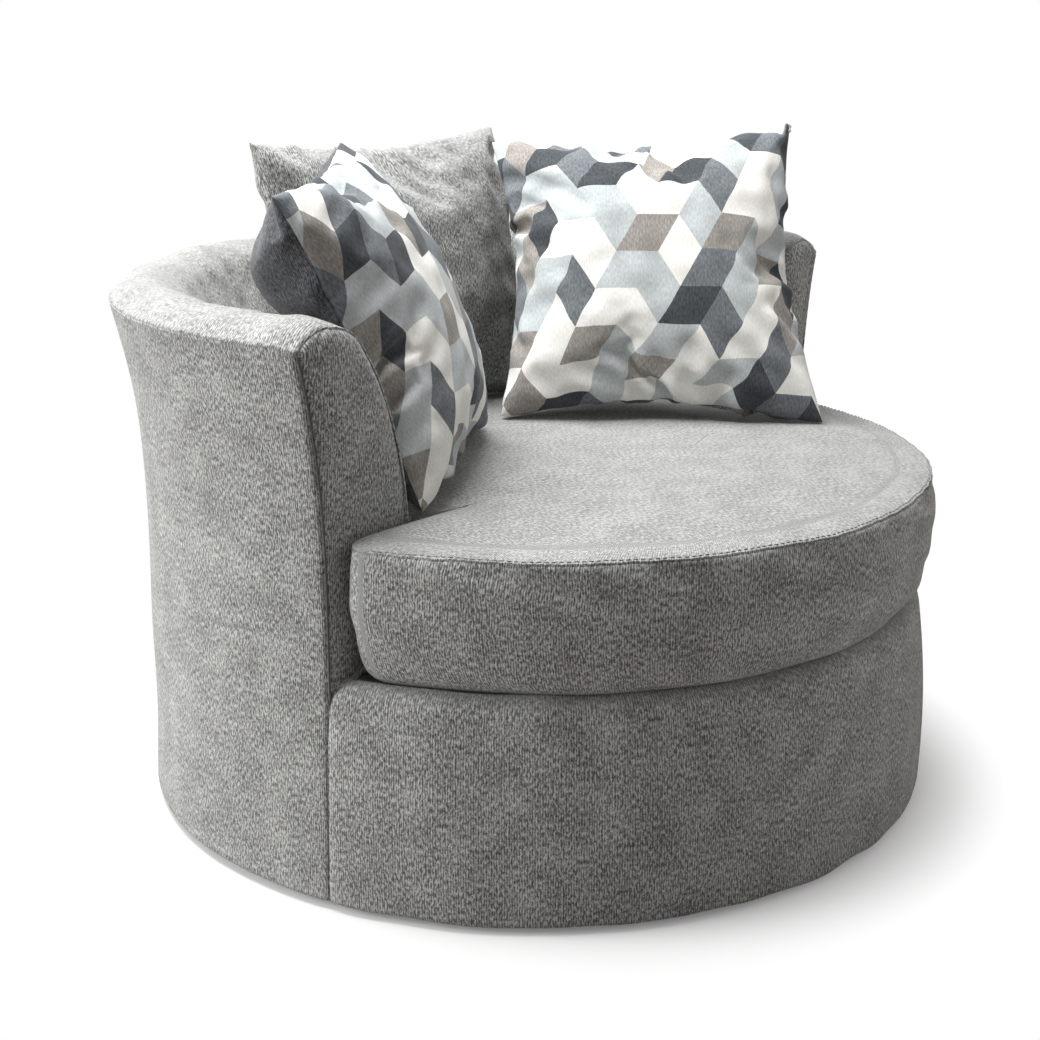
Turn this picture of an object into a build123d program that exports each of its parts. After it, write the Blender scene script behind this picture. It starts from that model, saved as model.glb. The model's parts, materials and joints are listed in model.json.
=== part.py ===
from build123d import *
import math
import os

# Round swivel barrel chair: a padded wall round the back and both arms, a loose seat cushion with wings
# in front of the arms, and three loose pillows. Millimetres, +Z up, the chair faces -Y, and the origin
# is on the floor on the swivel axis.

# Padded wall and rim
HEM_Z = 10.0
HEM_RADIUS = 585.0
WAIST_DRAW = 9.0
WAIST_RADIUS = HEM_RADIUS - WAIST_DRAW
WAIST_Z = 440.0
RIM_FLARE = 34.0
RIM_RADIUS = WAIST_RADIUS + RIM_FLARE
RIM_SEAM_Z = 738.0
RIM_OUTER_ROLL = 54.0
RIM_CROWN_RADIUS = RIM_RADIUS - RIM_OUTER_ROLL
RIM_CROWN_RISE = 28.0
RIM_CROWN_Z = RIM_SEAM_Z + RIM_CROWN_RISE
RIM_INNER_ROLL = 56.0
RIM_INNER_RADIUS = RIM_CROWN_RADIUS - RIM_INNER_ROLL
RIM_INNER_FALL = 36.0
RIM_INNER_Z = RIM_CROWN_Z - RIM_INNER_FALL
WALL_FOOT = 155.0
INNER_RADIUS = HEM_RADIUS - WALL_FOOT
INNER_STRAIGHT_RISE = 30.0
INNER_STRAIGHT_Z = WAIST_Z + INNER_STRAIGHT_RISE
ARM_FRONT = 120.0
HEM_RETURN = 40.0

# Apron below the seat
APRON_BELLY = 1.5
APRON_BELLY_Z = 130.0
APRON_TOP_DRAW = 12.0
APRON_ROLL_Z = 284.0
APRON_ROLL = 26.0

# Cloth, board and the room between layers
COVER = 3.0
BOARD = 3.0
GAP = 0.3
DUST_COVER = 1.0
DUST_COVER_MARGIN = 40.0

# Floor base and swivel
GLIDE_RADIUS = 22.0
GLIDE_HEIGHT = 8.0
GLIDE_PIN_RADIUS = 3.0
GLIDE_PIN = 10.0
GLIDE_COUNT = 6
GLIDE_CIRCLE = 290.0
PLATFORM_RADIUS = 330.0
PLATFORM = 18.0
PLATE_RADIUS = 160.0
PLATE = 3.0
BALL_DIAMETER = 10.0
BALL_COUNT = 24
BALL_CIRCLE = 128.0
BALL_SEAT = 0.5
BALL_CLEARANCE = 0.15
CAGE_WIDTH = 20.0
CAGE = 4.0
CAGE_CLEARANCE = 0.3
SCREW_EDGE = 11.0
SCREW_CIRCLE = PLATE_RADIUS - SCREW_EDGE
SCREW_COUNT = 4
SCREW_RADIUS = 2.5
SCREW_LENGTH = 14.0
SCREW_HEAD_RADIUS = 5.0
SCREW_HEAD = 2.5
PIVOT_RADIUS = 8.0
PIVOT_HEAD_RADIUS = 14.0
PIVOT_HEAD = 9.0
PIVOT_CLEARANCE = 0.2
BUSH_WALL = 4.0
BUSH_FLANGE_RADIUS = 20.0
BUSH_FLANGE = 3.0
WASHER_RADIUS = 18.0
WASHER = 2.5
NUT_RADIUS = 13.0
NUT = 12.0

# Wooden frame
BASE_BOARD = 18.0
HEM_RING_WIDTH = 38.0
WALL_PADDING = 75.0
FRAME_INNER_RADIUS = INNER_RADIUS + WALL_PADDING
POST_WIDTH = 40.0
WALL_POST_ANGLES = (-90.0, -60.0, -30.0, 0.0, 30.0, 60.0, 90.0)
FRONT_POST_ANGLES = (-52.0, -18.0, 18.0, 52.0)
TOP_RAIL = 20.0
TOP_RAIL_DROP = 38.0
TOP_RAIL_Z = RIM_SEAM_Z - TOP_RAIL_DROP
DECK_RING_LAP = 35.0
DECK_RING_INNER = INNER_RADIUS - DECK_RING_LAP
DECK_RING = 18.0
DECK_RING_Z = 262.0
FRONT_RAIL = 40.0
ARM_BOARD = 18.0
BLOCK_DEPTH = 45.0
BLOCK_HEIGHT = 40.0

# Seat springs and deck
WIRE = 4.0
SPRING_COUNT = 5
SPRING_SPACING = 115.0
SPRING_PITCH = 44.0
SPRING_WIDTH = 66.0
SPRING_SEAT = 20.0
CLIP_WALL = 1.5
CLIP_WIDTH = 14.0
DECK_PAD = 18.0
DECK_CLOTH = 2.0

# Seat cushion
CUSHION_HEIGHT = 183.0
CUSHION_CROWN = 22.0
CUSHION_SHOULDER = 16.0
CUSHION_ROLL = 46.0
CUSHION_TUCK = 34.0
CUSHION_SEAM_DRAW = 6.0
CUSHION_BACK_EASE = 18.0
CUSHION_BACK_TUCK = 5.0
CUSHION_COVER = 2.5
WING_GAP = 10.0
WING_CORNER = 34.0
WING_PLAN_MARGIN = 6.0
ZIP_ARC = 150.0
ZIP_TAPE = 1.0
ZIP_HEIGHT = 22.0
SLIDER = 4.0
SLIDER_ARC = 3.0
SLIDER_HEIGHT = 14.0
SLIDER_INSET = 2.0
PULL = 1.5
PULL_ARC = 1.0
PULL_HEIGHT = 30.0

# Loose pillows: size over the corners, stuffed thickness, place of the middle in plan, turn and lean back
PILLOW_COVER = 2.0
PILLOW_DRAW = 0.045
PILLOW_SHOULDER = 0.80
PILLOW_SHOULDER_RISE = 0.58
PILLOW_SHOULDER_BOW = 0.02
PILLOW_FACE = 0.42
PILLOW_FACE_BOW = 0.03
BACK_PILLOW = (548.0, 446.0, 190.0)
BACK_PILLOW_SETBACK = 113.0
BACK_PILLOW_PLACE = (52.0, INNER_RADIUS - BACK_PILLOW_SETBACK)
BACK_PILLOW_TURN = 0.0
BACK_PILLOW_LEAN = 12.0
ACCENT_PILLOW = (490.0, 476.0, 150.0)
LEFT_ACCENT_SETBACK = 160.0
LEFT_ACCENT_PLACE = (LEFT_ACCENT_SETBACK - INNER_RADIUS, 53.0)
LEFT_ACCENT_TURN = 36.0
LEFT_ACCENT_LEAN = 25.0
RIGHT_ACCENT_SETBACK = 137.0
RIGHT_ACCENT_PLACE = (INNER_RADIUS - RIGHT_ACCENT_SETBACK, 3.0)
RIGHT_ACCENT_TURN = -48.0
RIGHT_ACCENT_LEAN = 29.0

# Levels and radii that follow
platform_top = GLIDE_HEIGHT + PLATFORM
lower_plate_top = platform_top + PLATE
ball_middle = lower_plate_top + BALL_DIAMETER / 2 - BALL_SEAT
upper_plate_bottom = ball_middle + BALL_DIAMETER / 2 - BALL_SEAT
base_bottom = upper_plate_bottom + PLATE
base_top = base_bottom + BASE_BOARD
deck_ring_top = DECK_RING_Z + DECK_RING
wire_middle = deck_ring_top + CLIP_WALL + GAP + WIRE / 2
deck_pad_bottom = wire_middle + WIRE / 2 + GAP + CLIP_WALL + GAP
deck_pad_top = deck_pad_bottom + DECK_PAD
deck_top = deck_pad_top + GAP + DECK_CLOTH
cushion_bottom = deck_top + GAP
cushion_seam = cushion_bottom + CUSHION_HEIGHT
cushion_radius = RIM_RADIUS
cushion_back_radius = INNER_RADIUS - CUSHION_BACK_EASE
wing_back = -(ARM_FRONT + WING_GAP)
lining = COVER + GAP
boarding = lining + BOARD + GAP
top_rail_top = TOP_RAIL_Z + TOP_RAIL
space = 4 * RIM_RADIUS


def flare_radius(z):
    """Outer radius of the wall below its waist: an arc that stands upright at the waist."""
    drop = WAIST_Z - HEM_Z
    swell = HEM_RADIUS - WAIST_RADIUS
    bend = (swell**2 + drop**2) / (2 * swell)
    return WAIST_RADIUS + bend - math.sqrt(bend**2 - (WAIST_Z - z) ** 2)


def box_between(x0, x1, y0, y1, z0, z1):
    """Block between two corners."""
    middle = Pos((x0 + x1) / 2, (y0 + y1) / 2, (z0 + z1) / 2)
    return middle * Box(x1 - x0, y1 - y0, z1 - z0)


def behind(y):
    """Everything behind a plane across the chair."""
    return box_between(-space, space, y, space, -space, space)


def ahead(y):
    """Everything in front of a plane across the chair."""
    return box_between(-space, space, -space, y, -space, space)


def band(r0, r1, z0, z1):
    """Rectangle of a radial section."""
    return Pos((r0 + r1) / 2, (z0 + z1) / 2) * Rectangle(r1 - r0, z1 - z0)


def turned(section, arc=360.0):
    """Body of revolution about the swivel axis, from a section drawn in radius and height."""
    return revolve(Plane.XZ * section, axis=Axis.Z, revolution_arc=arc)


def tube(r0, r1, z0, z1):
    """Ring or, from radius 0, a disc."""
    return turned(band(r0, r1, z0, z1))


def around(shape, count, radius, start=0.0):
    """Equal copies of a shape on a circle about the swivel axis."""
    step = 360.0 / count
    return [Rot(0, 0, start + i * step) * (Pos(radius, 0, 0) * shape) for i in range(count)]


def at_angles(shape, angles):
    """Copies of a shape that stands on the +X side, turned to each angle."""
    return [Rot(0, 0, angle) * shape for angle in angles]


def wall_section(draw=0.0):
    """Section of the padded wall, drawn in all round: flared outside, rolled rim, inside leaning out."""
    waist = (WAIST_RADIUS - draw, WAIST_Z)
    hem = (HEM_RADIUS - draw, HEM_Z + draw)
    seam = (RIM_RADIUS - draw, RIM_SEAM_Z)
    crown = (RIM_CROWN_RADIUS, RIM_CROWN_Z - draw)
    slope = math.atan2(RIM_INNER_RADIUS - INNER_RADIUS, RIM_INNER_Z - INNER_STRAIGHT_Z) * 2
    brow = (RIM_INNER_RADIUS + draw * math.cos(slope), RIM_INNER_Z - draw * math.sin(slope))
    inner_top = (INNER_RADIUS + draw, INNER_STRAIGHT_Z)
    inner_foot = (INNER_RADIUS + draw, HEM_Z + draw)
    edges = [
        TangentArc(waist, hem, tangent=(0, -1)),
        TangentArc(waist, seam, tangent=(0, 1)),
        TangentArc(crown, seam, tangent=(1, 0)),
        TangentArc(crown, brow, tangent=(-1, 0)),
        TangentArc(inner_top, brow, tangent=(0, 1)),
        Line(inner_top, inner_foot),
        Line(inner_foot, hem),
    ]
    return make_face(edges)


def apron_section(draw=0.0):
    """Section of the apron, drawn in all round: nearly upright front, rolled over at the deck."""
    roll_radius = HEM_RADIUS - APRON_TOP_DRAW
    hem = (HEM_RADIUS - draw, HEM_Z + draw)
    belly = (HEM_RADIUS + APRON_BELLY - draw, APRON_BELLY_Z)
    roll = (roll_radius - draw, APRON_ROLL_Z)
    top_edge = (roll_radius - APRON_ROLL, deck_top - draw)
    inner_top = (INNER_RADIUS + draw, deck_top - draw)
    inner_foot = (INNER_RADIUS + draw, HEM_Z + draw)
    edges = [
        ThreePointArc(hem, belly, roll),
        TangentArc(top_edge, roll, tangent=(1, 0)),
        Line(top_edge, inner_top),
        Line(inner_top, inner_foot),
        Line(inner_foot, hem),
    ]
    return make_face(edges)


arm_front_face = -ARM_FRONT
arm_front_back = arm_front_face + COVER + GAP


def floor_base():
    """Platform on glides with the lower half of the swivel."""
    glide = Pos(0, 0, GLIDE_HEIGHT / 2) * Cylinder(GLIDE_RADIUS, GLIDE_HEIGHT)
    pin_height = GLIDE_HEIGHT + GLIDE_PIN
    glide += Pos(0, 0, pin_height / 2) * Cylinder(GLIDE_PIN_RADIUS, pin_height)
    pin_hole = Pos(0, 0, pin_height / 2) * Cylinder(GLIDE_PIN_RADIUS, pin_height)
    screw_length = PLATE + SCREW_LENGTH
    shank = Pos(0, 0, lower_plate_top - screw_length / 2) * Cylinder(SCREW_RADIUS, screw_length)
    head = Pos(0, 0, lower_plate_top + SCREW_HEAD / 2) * Cylinder(SCREW_HEAD_RADIUS, SCREW_HEAD)
    screws = around(shank + head, SCREW_COUNT, SCREW_CIRCLE)
    screw_holes = around(shank, SCREW_COUNT, SCREW_CIRCLE)
    bore = PIVOT_RADIUS + PIVOT_CLEARANCE

    platform = tube(bore, PLATFORM_RADIUS, GLIDE_HEIGHT, platform_top)
    platform -= tube(0, PIVOT_HEAD_RADIUS + PIVOT_CLEARANCE, GLIDE_HEIGHT, GLIDE_HEIGHT + PIVOT_HEAD)
    platform -= around(pin_hole, GLIDE_COUNT, GLIDE_CIRCLE)
    platform -= screw_holes

    race = Pos(0, 0, ball_middle) * Torus(BALL_CIRCLE, BALL_DIAMETER / 2 + BALL_CLEARANCE)
    plate = tube(bore, PLATE_RADIUS, platform_top, lower_plate_top) - race
    plate -= screw_holes

    washer_bottom = base_top + BUSH_FLANGE + GAP
    nut_bottom = washer_bottom + WASHER
    bolt = tube(0, PIVOT_HEAD_RADIUS, GLIDE_HEIGHT, GLIDE_HEIGHT + PIVOT_HEAD)
    bolt += tube(0, PIVOT_RADIUS, GLIDE_HEIGHT, nut_bottom + NUT)
    nut = Pos(0, 0, nut_bottom) * extrude(RegularPolygon(NUT_RADIUS, 6), NUT)
    nut -= tube(0, PIVOT_RADIUS, nut_bottom, nut_bottom + NUT)
    return {
        "floor_glides": around(glide, GLIDE_COUNT, GLIDE_CIRCLE),
        "floor_platform": platform,
        "lower_race_plate": plate,
        "lower_plate_screws": screws,
        "pivot_bolt": bolt,
        "pivot_washer": tube(PIVOT_RADIUS, WASHER_RADIUS, washer_bottom, nut_bottom),
        "pivot_nut": nut,
    }


def ball_race():
    """Cage and balls that run between the two race plates."""
    pocket = Cylinder(BALL_DIAMETER / 2 + CAGE_CLEARANCE, BALL_DIAMETER)
    cage = tube(BALL_CIRCLE - CAGE_WIDTH / 2, BALL_CIRCLE + CAGE_WIDTH / 2, -CAGE / 2, CAGE / 2)
    cage -= around(pocket, BALL_COUNT, BALL_CIRCLE)
    balls = around(Sphere(BALL_DIAMETER / 2), BALL_COUNT, BALL_CIRCLE)
    lift = Pos(0, 0, ball_middle)
    return {"ball_cage": lift * cage, "race_balls": [lift * ball for ball in balls]}


def swivel_top():
    """Upper race plate, bush, base board and hem ring, all fixed to the turning chair."""
    race = Pos(0, 0, ball_middle) * Torus(BALL_CIRCLE, BALL_DIAMETER / 2 + BALL_CLEARANCE)
    screw_length = PLATE + SCREW_LENGTH
    shank = Pos(0, 0, upper_plate_bottom + screw_length / 2) * Cylinder(SCREW_RADIUS, screw_length)
    head = Pos(0, 0, upper_plate_bottom - SCREW_HEAD / 2) * Cylinder(SCREW_HEAD_RADIUS, SCREW_HEAD)
    half_step = 180.0 / SCREW_COUNT
    screw_holes = around(shank, SCREW_COUNT, SCREW_CIRCLE, half_step)
    bush_bore = PIVOT_RADIUS + PIVOT_CLEARANCE
    bush_radius = bush_bore + BUSH_WALL
    plate = tube(bush_radius, PLATE_RADIUS, upper_plate_bottom, base_bottom) - race
    plate -= screw_holes
    bush = tube(bush_bore, bush_radius, upper_plate_bottom, base_top)
    bush += tube(bush_bore, BUSH_FLANGE_RADIUS, base_top, base_top + BUSH_FLANGE)
    board_radius = flare_radius(base_top) - boarding
    board = tube(bush_radius, board_radius, base_bottom, base_top)
    board -= screw_holes
    ring_radius = flare_radius(base_bottom) - lining
    ring = tube(ring_radius - HEM_RING_WIDTH, ring_radius, HEM_Z + lining, base_bottom)
    dust_inner = PLATE_RADIUS + DUST_COVER_MARGIN
    dust_outer = ring_radius - HEM_RING_WIDTH - GAP
    return {
        "upper_race_plate": plate,
        "upper_plate_screws": around(shank + head, SCREW_COUNT, SCREW_CIRCLE, half_step),
        "pivot_bush": bush,
        "base_board": board,
        "hem_ring": ring,
        "dust_cover": tube(dust_inner, dust_outer, base_bottom - DUST_COVER, base_bottom),
    }


def frame():
    """Posts, rails, deck ring and boards of the turning frame."""
    inner = FRAME_INNER_RADIUS
    room = wall_section(boarding)
    wall_room = turned(room)
    apron_room = turned(apron_section(boarding))
    post_plan = box_between(inner, HEM_RADIUS, -POST_WIDTH / 2, POST_WIDTH / 2, base_top, TOP_RAIL_Z)
    front_top = deck_ring_top - FRONT_RAIL
    front_plan = box_between(inner, HEM_RADIUS, -POST_WIDTH / 2, POST_WIDTH / 2, base_top, front_top)
    wall_angles = [90.0 + angle for angle in WALL_POST_ANGLES]
    front_angles = [-90.0 + angle for angle in FRONT_POST_ANGLES]
    block_outer = math.sqrt((inner - GAP) ** 2 - (POST_WIDTH / 2) ** 2)
    block = box_between(block_outer - BLOCK_DEPTH, block_outer, -POST_WIDTH / 2, POST_WIDTH / 2,
                        DECK_RING_Z - BLOCK_HEIGHT, DECK_RING_Z)
    arm_board = turned(room & band(inner, RIM_RADIUS, base_top, top_rail_top))
    arm_board &= box_between(-space, space, arm_front_back, arm_front_back + ARM_BOARD, 0, space)
    top_rail = turned(room & band(inner, RIM_RADIUS, TOP_RAIL_Z, top_rail_top))
    front_rail = apron_room & tube(inner, HEM_RADIUS, front_top, deck_ring_top)
    outside = wall_section(lining) - room
    outside &= band(inner, RIM_RADIUS, base_bottom, top_rail_top)
    apron = apron_section(lining) - apron_section(lining + BOARD)
    apron &= band(inner, space, base_bottom, APRON_ROLL_Z)
    return {
        "wall_posts": at_angles(post_plan & wall_room, wall_angles),
        "front_posts": at_angles(front_plan & apron_room, front_angles),
        "corner_blocks": at_angles(block, wall_angles + front_angles),
        "deck_ring": tube(DECK_RING_INNER, inner - GAP, DECK_RING_Z, deck_ring_top),
        "front_rail": front_rail & ahead(arm_front_face - GAP),
        "top_rail": top_rail & behind(arm_front_back + ARM_BOARD + GAP),
        "arm_front_boards": arm_board,
        "outside_board": turned(outside) & behind(arm_front_back + ARM_BOARD + GAP),
        "apron_panel": turned(apron) & ahead(arm_front_face - GAP),
    }


def sinuous_spring(x, half_length):
    """Zigzag seat spring along Y: straight cross runs joined by half-turn bends."""
    turns = round(2 * half_length / SPRING_PITCH)
    pitch = 2 * half_length / turns
    run = SPRING_WIDTH / 2 - pitch / 2
    edges = []
    for i in range(turns + 1):
        side = 1 if i % 2 == 0 else -1
        y = -half_length + i * pitch
        edges.append(Line((x - side * run, y, wire_middle), (x + side * run, y, wire_middle)))
        if i < turns:
            bend = (x + side * (run + pitch / 2), y + pitch / 2, wire_middle)
            end = (x + side * run, y + pitch, wire_middle)
            edges.append(ThreePointArc((x + side * run, y, wire_middle), bend, end))
    path = Wire(edges)
    start = Plane(origin=(x - run, -half_length, wire_middle), z_dir=(1, 0, 0))
    return sweep(start * Circle(WIRE / 2), path=path)


def seat_deck():
    """Springs, clips, deck pad and deck cloth under the cushion."""
    seat_radius = DECK_RING_INNER + SPRING_SEAT
    clip_reach = WIRE / 2 + GAP + CLIP_WALL
    springs = []
    clips = []
    for i in range(SPRING_COUNT):
        x = (i - (SPRING_COUNT - 1) / 2) * SPRING_SPACING
        half_length = math.sqrt(seat_radius**2 - x**2)
        springs.append(sinuous_spring(x, half_length))
        for y in (-half_length, half_length):
            clip = box_between(x - CLIP_WIDTH / 2, x + CLIP_WIDTH / 2, y - clip_reach, y + clip_reach,
                               deck_ring_top, wire_middle + clip_reach)
            clip -= Pos(x, y, wire_middle) * Rot(0, 90, 0) * Cylinder(WIRE / 2 + GAP, space)
            clips.append(clip)
    front_radius = HEM_RADIUS - APRON_TOP_DRAW - APRON_ROLL - COVER - GAP

    def deck_layer(z0, z1):
        front = tube(0, front_radius, z0, z1) & ahead(arm_front_face - GAP)
        return tube(0, INNER_RADIUS - GAP, z0, z1) + front

    return {
        "seat_springs": springs,
        "spring_clips": clips,
        "deck_pad": deck_layer(deck_pad_bottom, deck_pad_top),
        "deck_cloth": deck_layer(deck_pad_top + GAP, deck_top),
    }


def upholstery():
    """Padding and covers of the wall, the arm fronts and the apron."""
    skin = wall_section() - wall_section(COVER)
    hem_inner = HEM_RADIUS - HEM_RETURN
    outside = skin & band(hem_inner, space, 0, RIM_SEAM_Z)
    inside = skin & band(0, RIM_RADIUS, deck_ring_top, space)
    inside -= band(RIM_CROWN_RADIUS, space, 0, RIM_SEAM_Z + GAP)
    pad = wall_section(lining) & band(0, space, deck_ring_top + GAP, space)
    pad -= band(FRAME_INNER_RADIUS - GAP, space, 0, top_rail_top + GAP)
    apron = apron_section() - apron_section(COVER)
    apron &= band(hem_inner, space, 0, space)
    apron -= band(0, HEM_RADIUS - APRON_TOP_DRAW - APRON_ROLL, HEM_Z + COVER, space)
    front = box_between(-space, space, arm_front_face, arm_front_face + COVER, deck_top + GAP, space)
    fronts = turned(wall_section()) & front
    return {
        "wall_padding": turned(pad) & behind(arm_front_back),
        "inside_cover": turned(inside) & behind(arm_front_back),
        "outside_cover": turned(outside) & behind(arm_front_back),
        "left_arm_front": fronts & box_between(-space, 0, -space, space, 0, space),
        "right_arm_front": fronts & box_between(0, space, -space, space, 0, space),
        "apron_cover": turned(apron) & ahead(arm_front_back - GAP),
    }


def cushion_section(radius, tuck, draw):
    """Section of the seat cushion: drawn-in foot, bulging side, seam, rolled shoulder and crowned top."""
    foot = radius - tuck
    shoulder = (radius - CUSHION_SEAM_DRAW - CUSHION_ROLL, cushion_seam + CUSHION_SHOULDER - draw)
    seam = (radius - CUSHION_SEAM_DRAW - draw, cushion_seam)
    bulge = (radius - draw, (cushion_bottom + cushion_seam) / 2)
    bottom = cushion_bottom + draw
    crown = (0, cushion_seam + CUSHION_CROWN - draw)
    edges = [
        Line((0, bottom), (foot - draw, bottom)),
        ThreePointArc((foot - draw, bottom), bulge, seam),
        TangentArc(shoulder, seam, tangent=(1, 0)),
        TangentArc(crown, shoulder, tangent=(1, 0)),
        Line(crown, (0, bottom)),
    ]
    return make_face(edges)


def cushion_body(draw):
    """Whole cushion: a round front whose wings pass the arms, and a narrower round back between them."""
    plan = Circle(cushion_radius + WING_PLAN_MARGIN - draw)
    plan &= Pos(0, wing_back - draw - space / 2) * Rectangle(2 * space, space)
    plan = fillet(plan.vertices(), WING_CORNER - draw)
    front = turned(cushion_section(cushion_radius, CUSHION_TUCK, draw))
    front &= extrude(plan, RIM_CROWN_Z)
    return front + turned(cushion_section(cushion_back_radius, CUSHION_BACK_TUCK, draw))


def seat_cushion():
    """Cushion cover in two panels, its foam core, and the zip round the back."""
    shell = cushion_body(0) - cushion_body(CUSHION_COVER)
    upper = box_between(-space, space, -space, space, cushion_seam, space)
    tape_radius = cushion_back_radius + GAP
    middle = (cushion_bottom + cushion_seam) / 2
    tape = band(tape_radius, tape_radius + ZIP_TAPE, middle - ZIP_HEIGHT / 2, middle + ZIP_HEIGHT / 2)
    start = 90.0 - ZIP_ARC / 2
    slider_radius = tape_radius + ZIP_TAPE + GAP
    slider = turned(band(slider_radius, slider_radius + SLIDER, middle - SLIDER_HEIGHT / 2,
                         middle + SLIDER_HEIGHT / 2), SLIDER_ARC)
    pull = turned(band(slider_radius + SLIDER, slider_radius + SLIDER + PULL, middle - PULL_HEIGHT,
                       middle + SLIDER_HEIGHT / 2), PULL_ARC)
    slider += Rot(0, 0, (SLIDER_ARC - PULL_ARC) / 2) * pull
    return {
        "cushion_top_panel": shell & upper,
        "cushion_boxing": shell - upper,
        "cushion_foam": cushion_body(CUSHION_COVER + GAP),
        "cushion_zip_tape": Rot(0, 0, start) * turned(tape, ZIP_ARC),
        "zip_slider": Rot(0, 0, start + SLIDER_INSET) * slider,
    }


def pillow_outline(half_width, half_height, swell, level):
    """Four-sided outline whose sides bow out by swell, or in where swell is negative."""
    corners = [(half_width, half_height), (-half_width, half_height),
               (-half_width, -half_height), (half_width, -half_height)]
    middles = [(0, half_height + swell), (-half_width - swell, 0),
               (0, -half_height - swell), (half_width + swell, 0)]
    edges = [ThreePointArc(corners[i], middles[i], corners[(i + 1) % 4]) for i in range(4)]
    return Pos(0, 0, level) * make_face(edges)


def pillow_half(size, side, draw):
    """Front (side 1) or back (side -1) half of a stuffed pillow: eared seam, full shoulder, crowned face."""
    width, height, thickness = size
    half_width = width / 2 - draw
    half_height = height / 2 - draw
    depth = thickness / 2 - draw
    seam = pillow_outline(half_width - draw, half_height - draw, -PILLOW_DRAW * height, 0)
    shoulder_x = PILLOW_SHOULDER * half_width
    shoulder_y = PILLOW_SHOULDER * half_height
    face_x = PILLOW_FACE * half_width
    face_y = PILLOW_FACE * half_height
    rise = pillow_outline(shoulder_x, shoulder_y, PILLOW_SHOULDER_BOW * width, side * PILLOW_SHOULDER_RISE * depth)
    face = pillow_outline(face_x, face_y, PILLOW_FACE_BOW * width, side * depth)
    return loft([seam, rise, face])


def pillow_plane(place, turn, lean):
    """Seam plane of a pillow, high above the seat: turned from facing -Y towards +X, then leaned back."""
    yaw = math.radians(turn)
    tip = math.radians(lean)
    facing = Vector(math.sin(yaw) * math.cos(tip), -math.cos(yaw) * math.cos(tip), math.sin(tip))
    across = Vector(math.cos(yaw), math.sin(yaw), 0)
    return Plane(origin=(place[0], place[1], 2 * RIM_CROWN_Z), x_dir=across, z_dir=facing)


def pillow(name, size, place, turn, lean, cushion):
    """Front panel, back panel and fill of one pillow, let down until it stands on the seat cushion."""
    plane = pillow_plane(place, turn, lean)
    outside = {side: plane * pillow_half(size, side, 0) for side in (1, -1)}
    drop = min(half.distance_to(cushion) for half in outside.values()) - GAP
    down = Pos(0, 0, -drop)
    fill = pillow_half(size, 1, PILLOW_COVER + GAP) + pillow_half(size, -1, PILLOW_COVER + GAP)
    return {
        name + "_front": down * (outside[1] - plane * pillow_half(size, 1, PILLOW_COVER)),
        name + "_back": down * (outside[-1] - plane * pillow_half(size, -1, PILLOW_COVER)),
        name + "_fill": down * (plane * fill),
    }


def write(nodes):
    """One STEP file for each node; a list becomes a group of separate solids."""
    for name, shape in nodes.items():
        if isinstance(shape, list):
            shape = Compound(children=[solid for item in shape for solid in item.solids()])
        export_step(shape, "parts/" + name + ".step")


os.makedirs("parts", exist_ok=True)
write(floor_base())
write(ball_race())
write(swivel_top())
write(frame())
write(seat_deck())
write(upholstery())
write(seat_cushion())
seat = cushion_body(0)
write(pillow("back_pillow", BACK_PILLOW, BACK_PILLOW_PLACE, BACK_PILLOW_TURN, BACK_PILLOW_LEAN, seat))
write(pillow("left_accent", ACCENT_PILLOW, LEFT_ACCENT_PLACE, LEFT_ACCENT_TURN, LEFT_ACCENT_LEAN, seat))
write(pillow("right_accent", ACCENT_PILLOW, RIGHT_ACCENT_PLACE, RIGHT_ACCENT_TURN, RIGHT_ACCENT_LEAN, seat))
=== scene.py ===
"""Round swivel chair in heathered grey chenille, with a loose seat cushion and three loose pillows.

Everything is in metres in the frame's own axes: +Z up on the swivel axis, the seat facing -Y.
"""
import json
import logging
import math
from dataclasses import dataclass, field
from enum import Enum
from typing import Any, Optional, Sequence

import bmesh
import bpy
import numpy as np
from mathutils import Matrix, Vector


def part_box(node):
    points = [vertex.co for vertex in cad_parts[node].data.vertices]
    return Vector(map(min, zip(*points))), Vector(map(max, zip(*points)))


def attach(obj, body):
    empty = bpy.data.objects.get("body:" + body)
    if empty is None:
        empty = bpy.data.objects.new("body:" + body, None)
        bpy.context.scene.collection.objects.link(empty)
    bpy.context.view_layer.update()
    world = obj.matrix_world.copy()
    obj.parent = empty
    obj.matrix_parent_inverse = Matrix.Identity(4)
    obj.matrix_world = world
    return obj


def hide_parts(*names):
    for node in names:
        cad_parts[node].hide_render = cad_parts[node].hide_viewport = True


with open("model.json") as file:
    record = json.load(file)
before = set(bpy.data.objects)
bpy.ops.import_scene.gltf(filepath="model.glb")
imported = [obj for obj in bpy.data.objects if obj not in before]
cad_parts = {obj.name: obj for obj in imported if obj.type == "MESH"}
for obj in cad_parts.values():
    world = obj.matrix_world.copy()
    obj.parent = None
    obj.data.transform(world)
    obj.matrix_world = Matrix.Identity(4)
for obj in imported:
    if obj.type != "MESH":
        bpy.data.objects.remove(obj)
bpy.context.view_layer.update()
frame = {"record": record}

LOG = logging.getLogger("swivel_chair")
MM = 0.001
WEAVE = "weave"
# Blender's wave texture draws one band about every 0.314 units of its scaled coordinate.
WAVE_BAND = 0.314
# Middle line of the roll of cloth where an arm front is tucked in over the apron, on the side of +X.
ARM_TUCK = ((0.5570, -0.1225, 0.286), (0.5480, -0.125, 0.2945), (0.5330, -0.126, 0.303),
            (0.5140, -0.124, 0.310), (0.4950, -0.122, 0.313))


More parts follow.
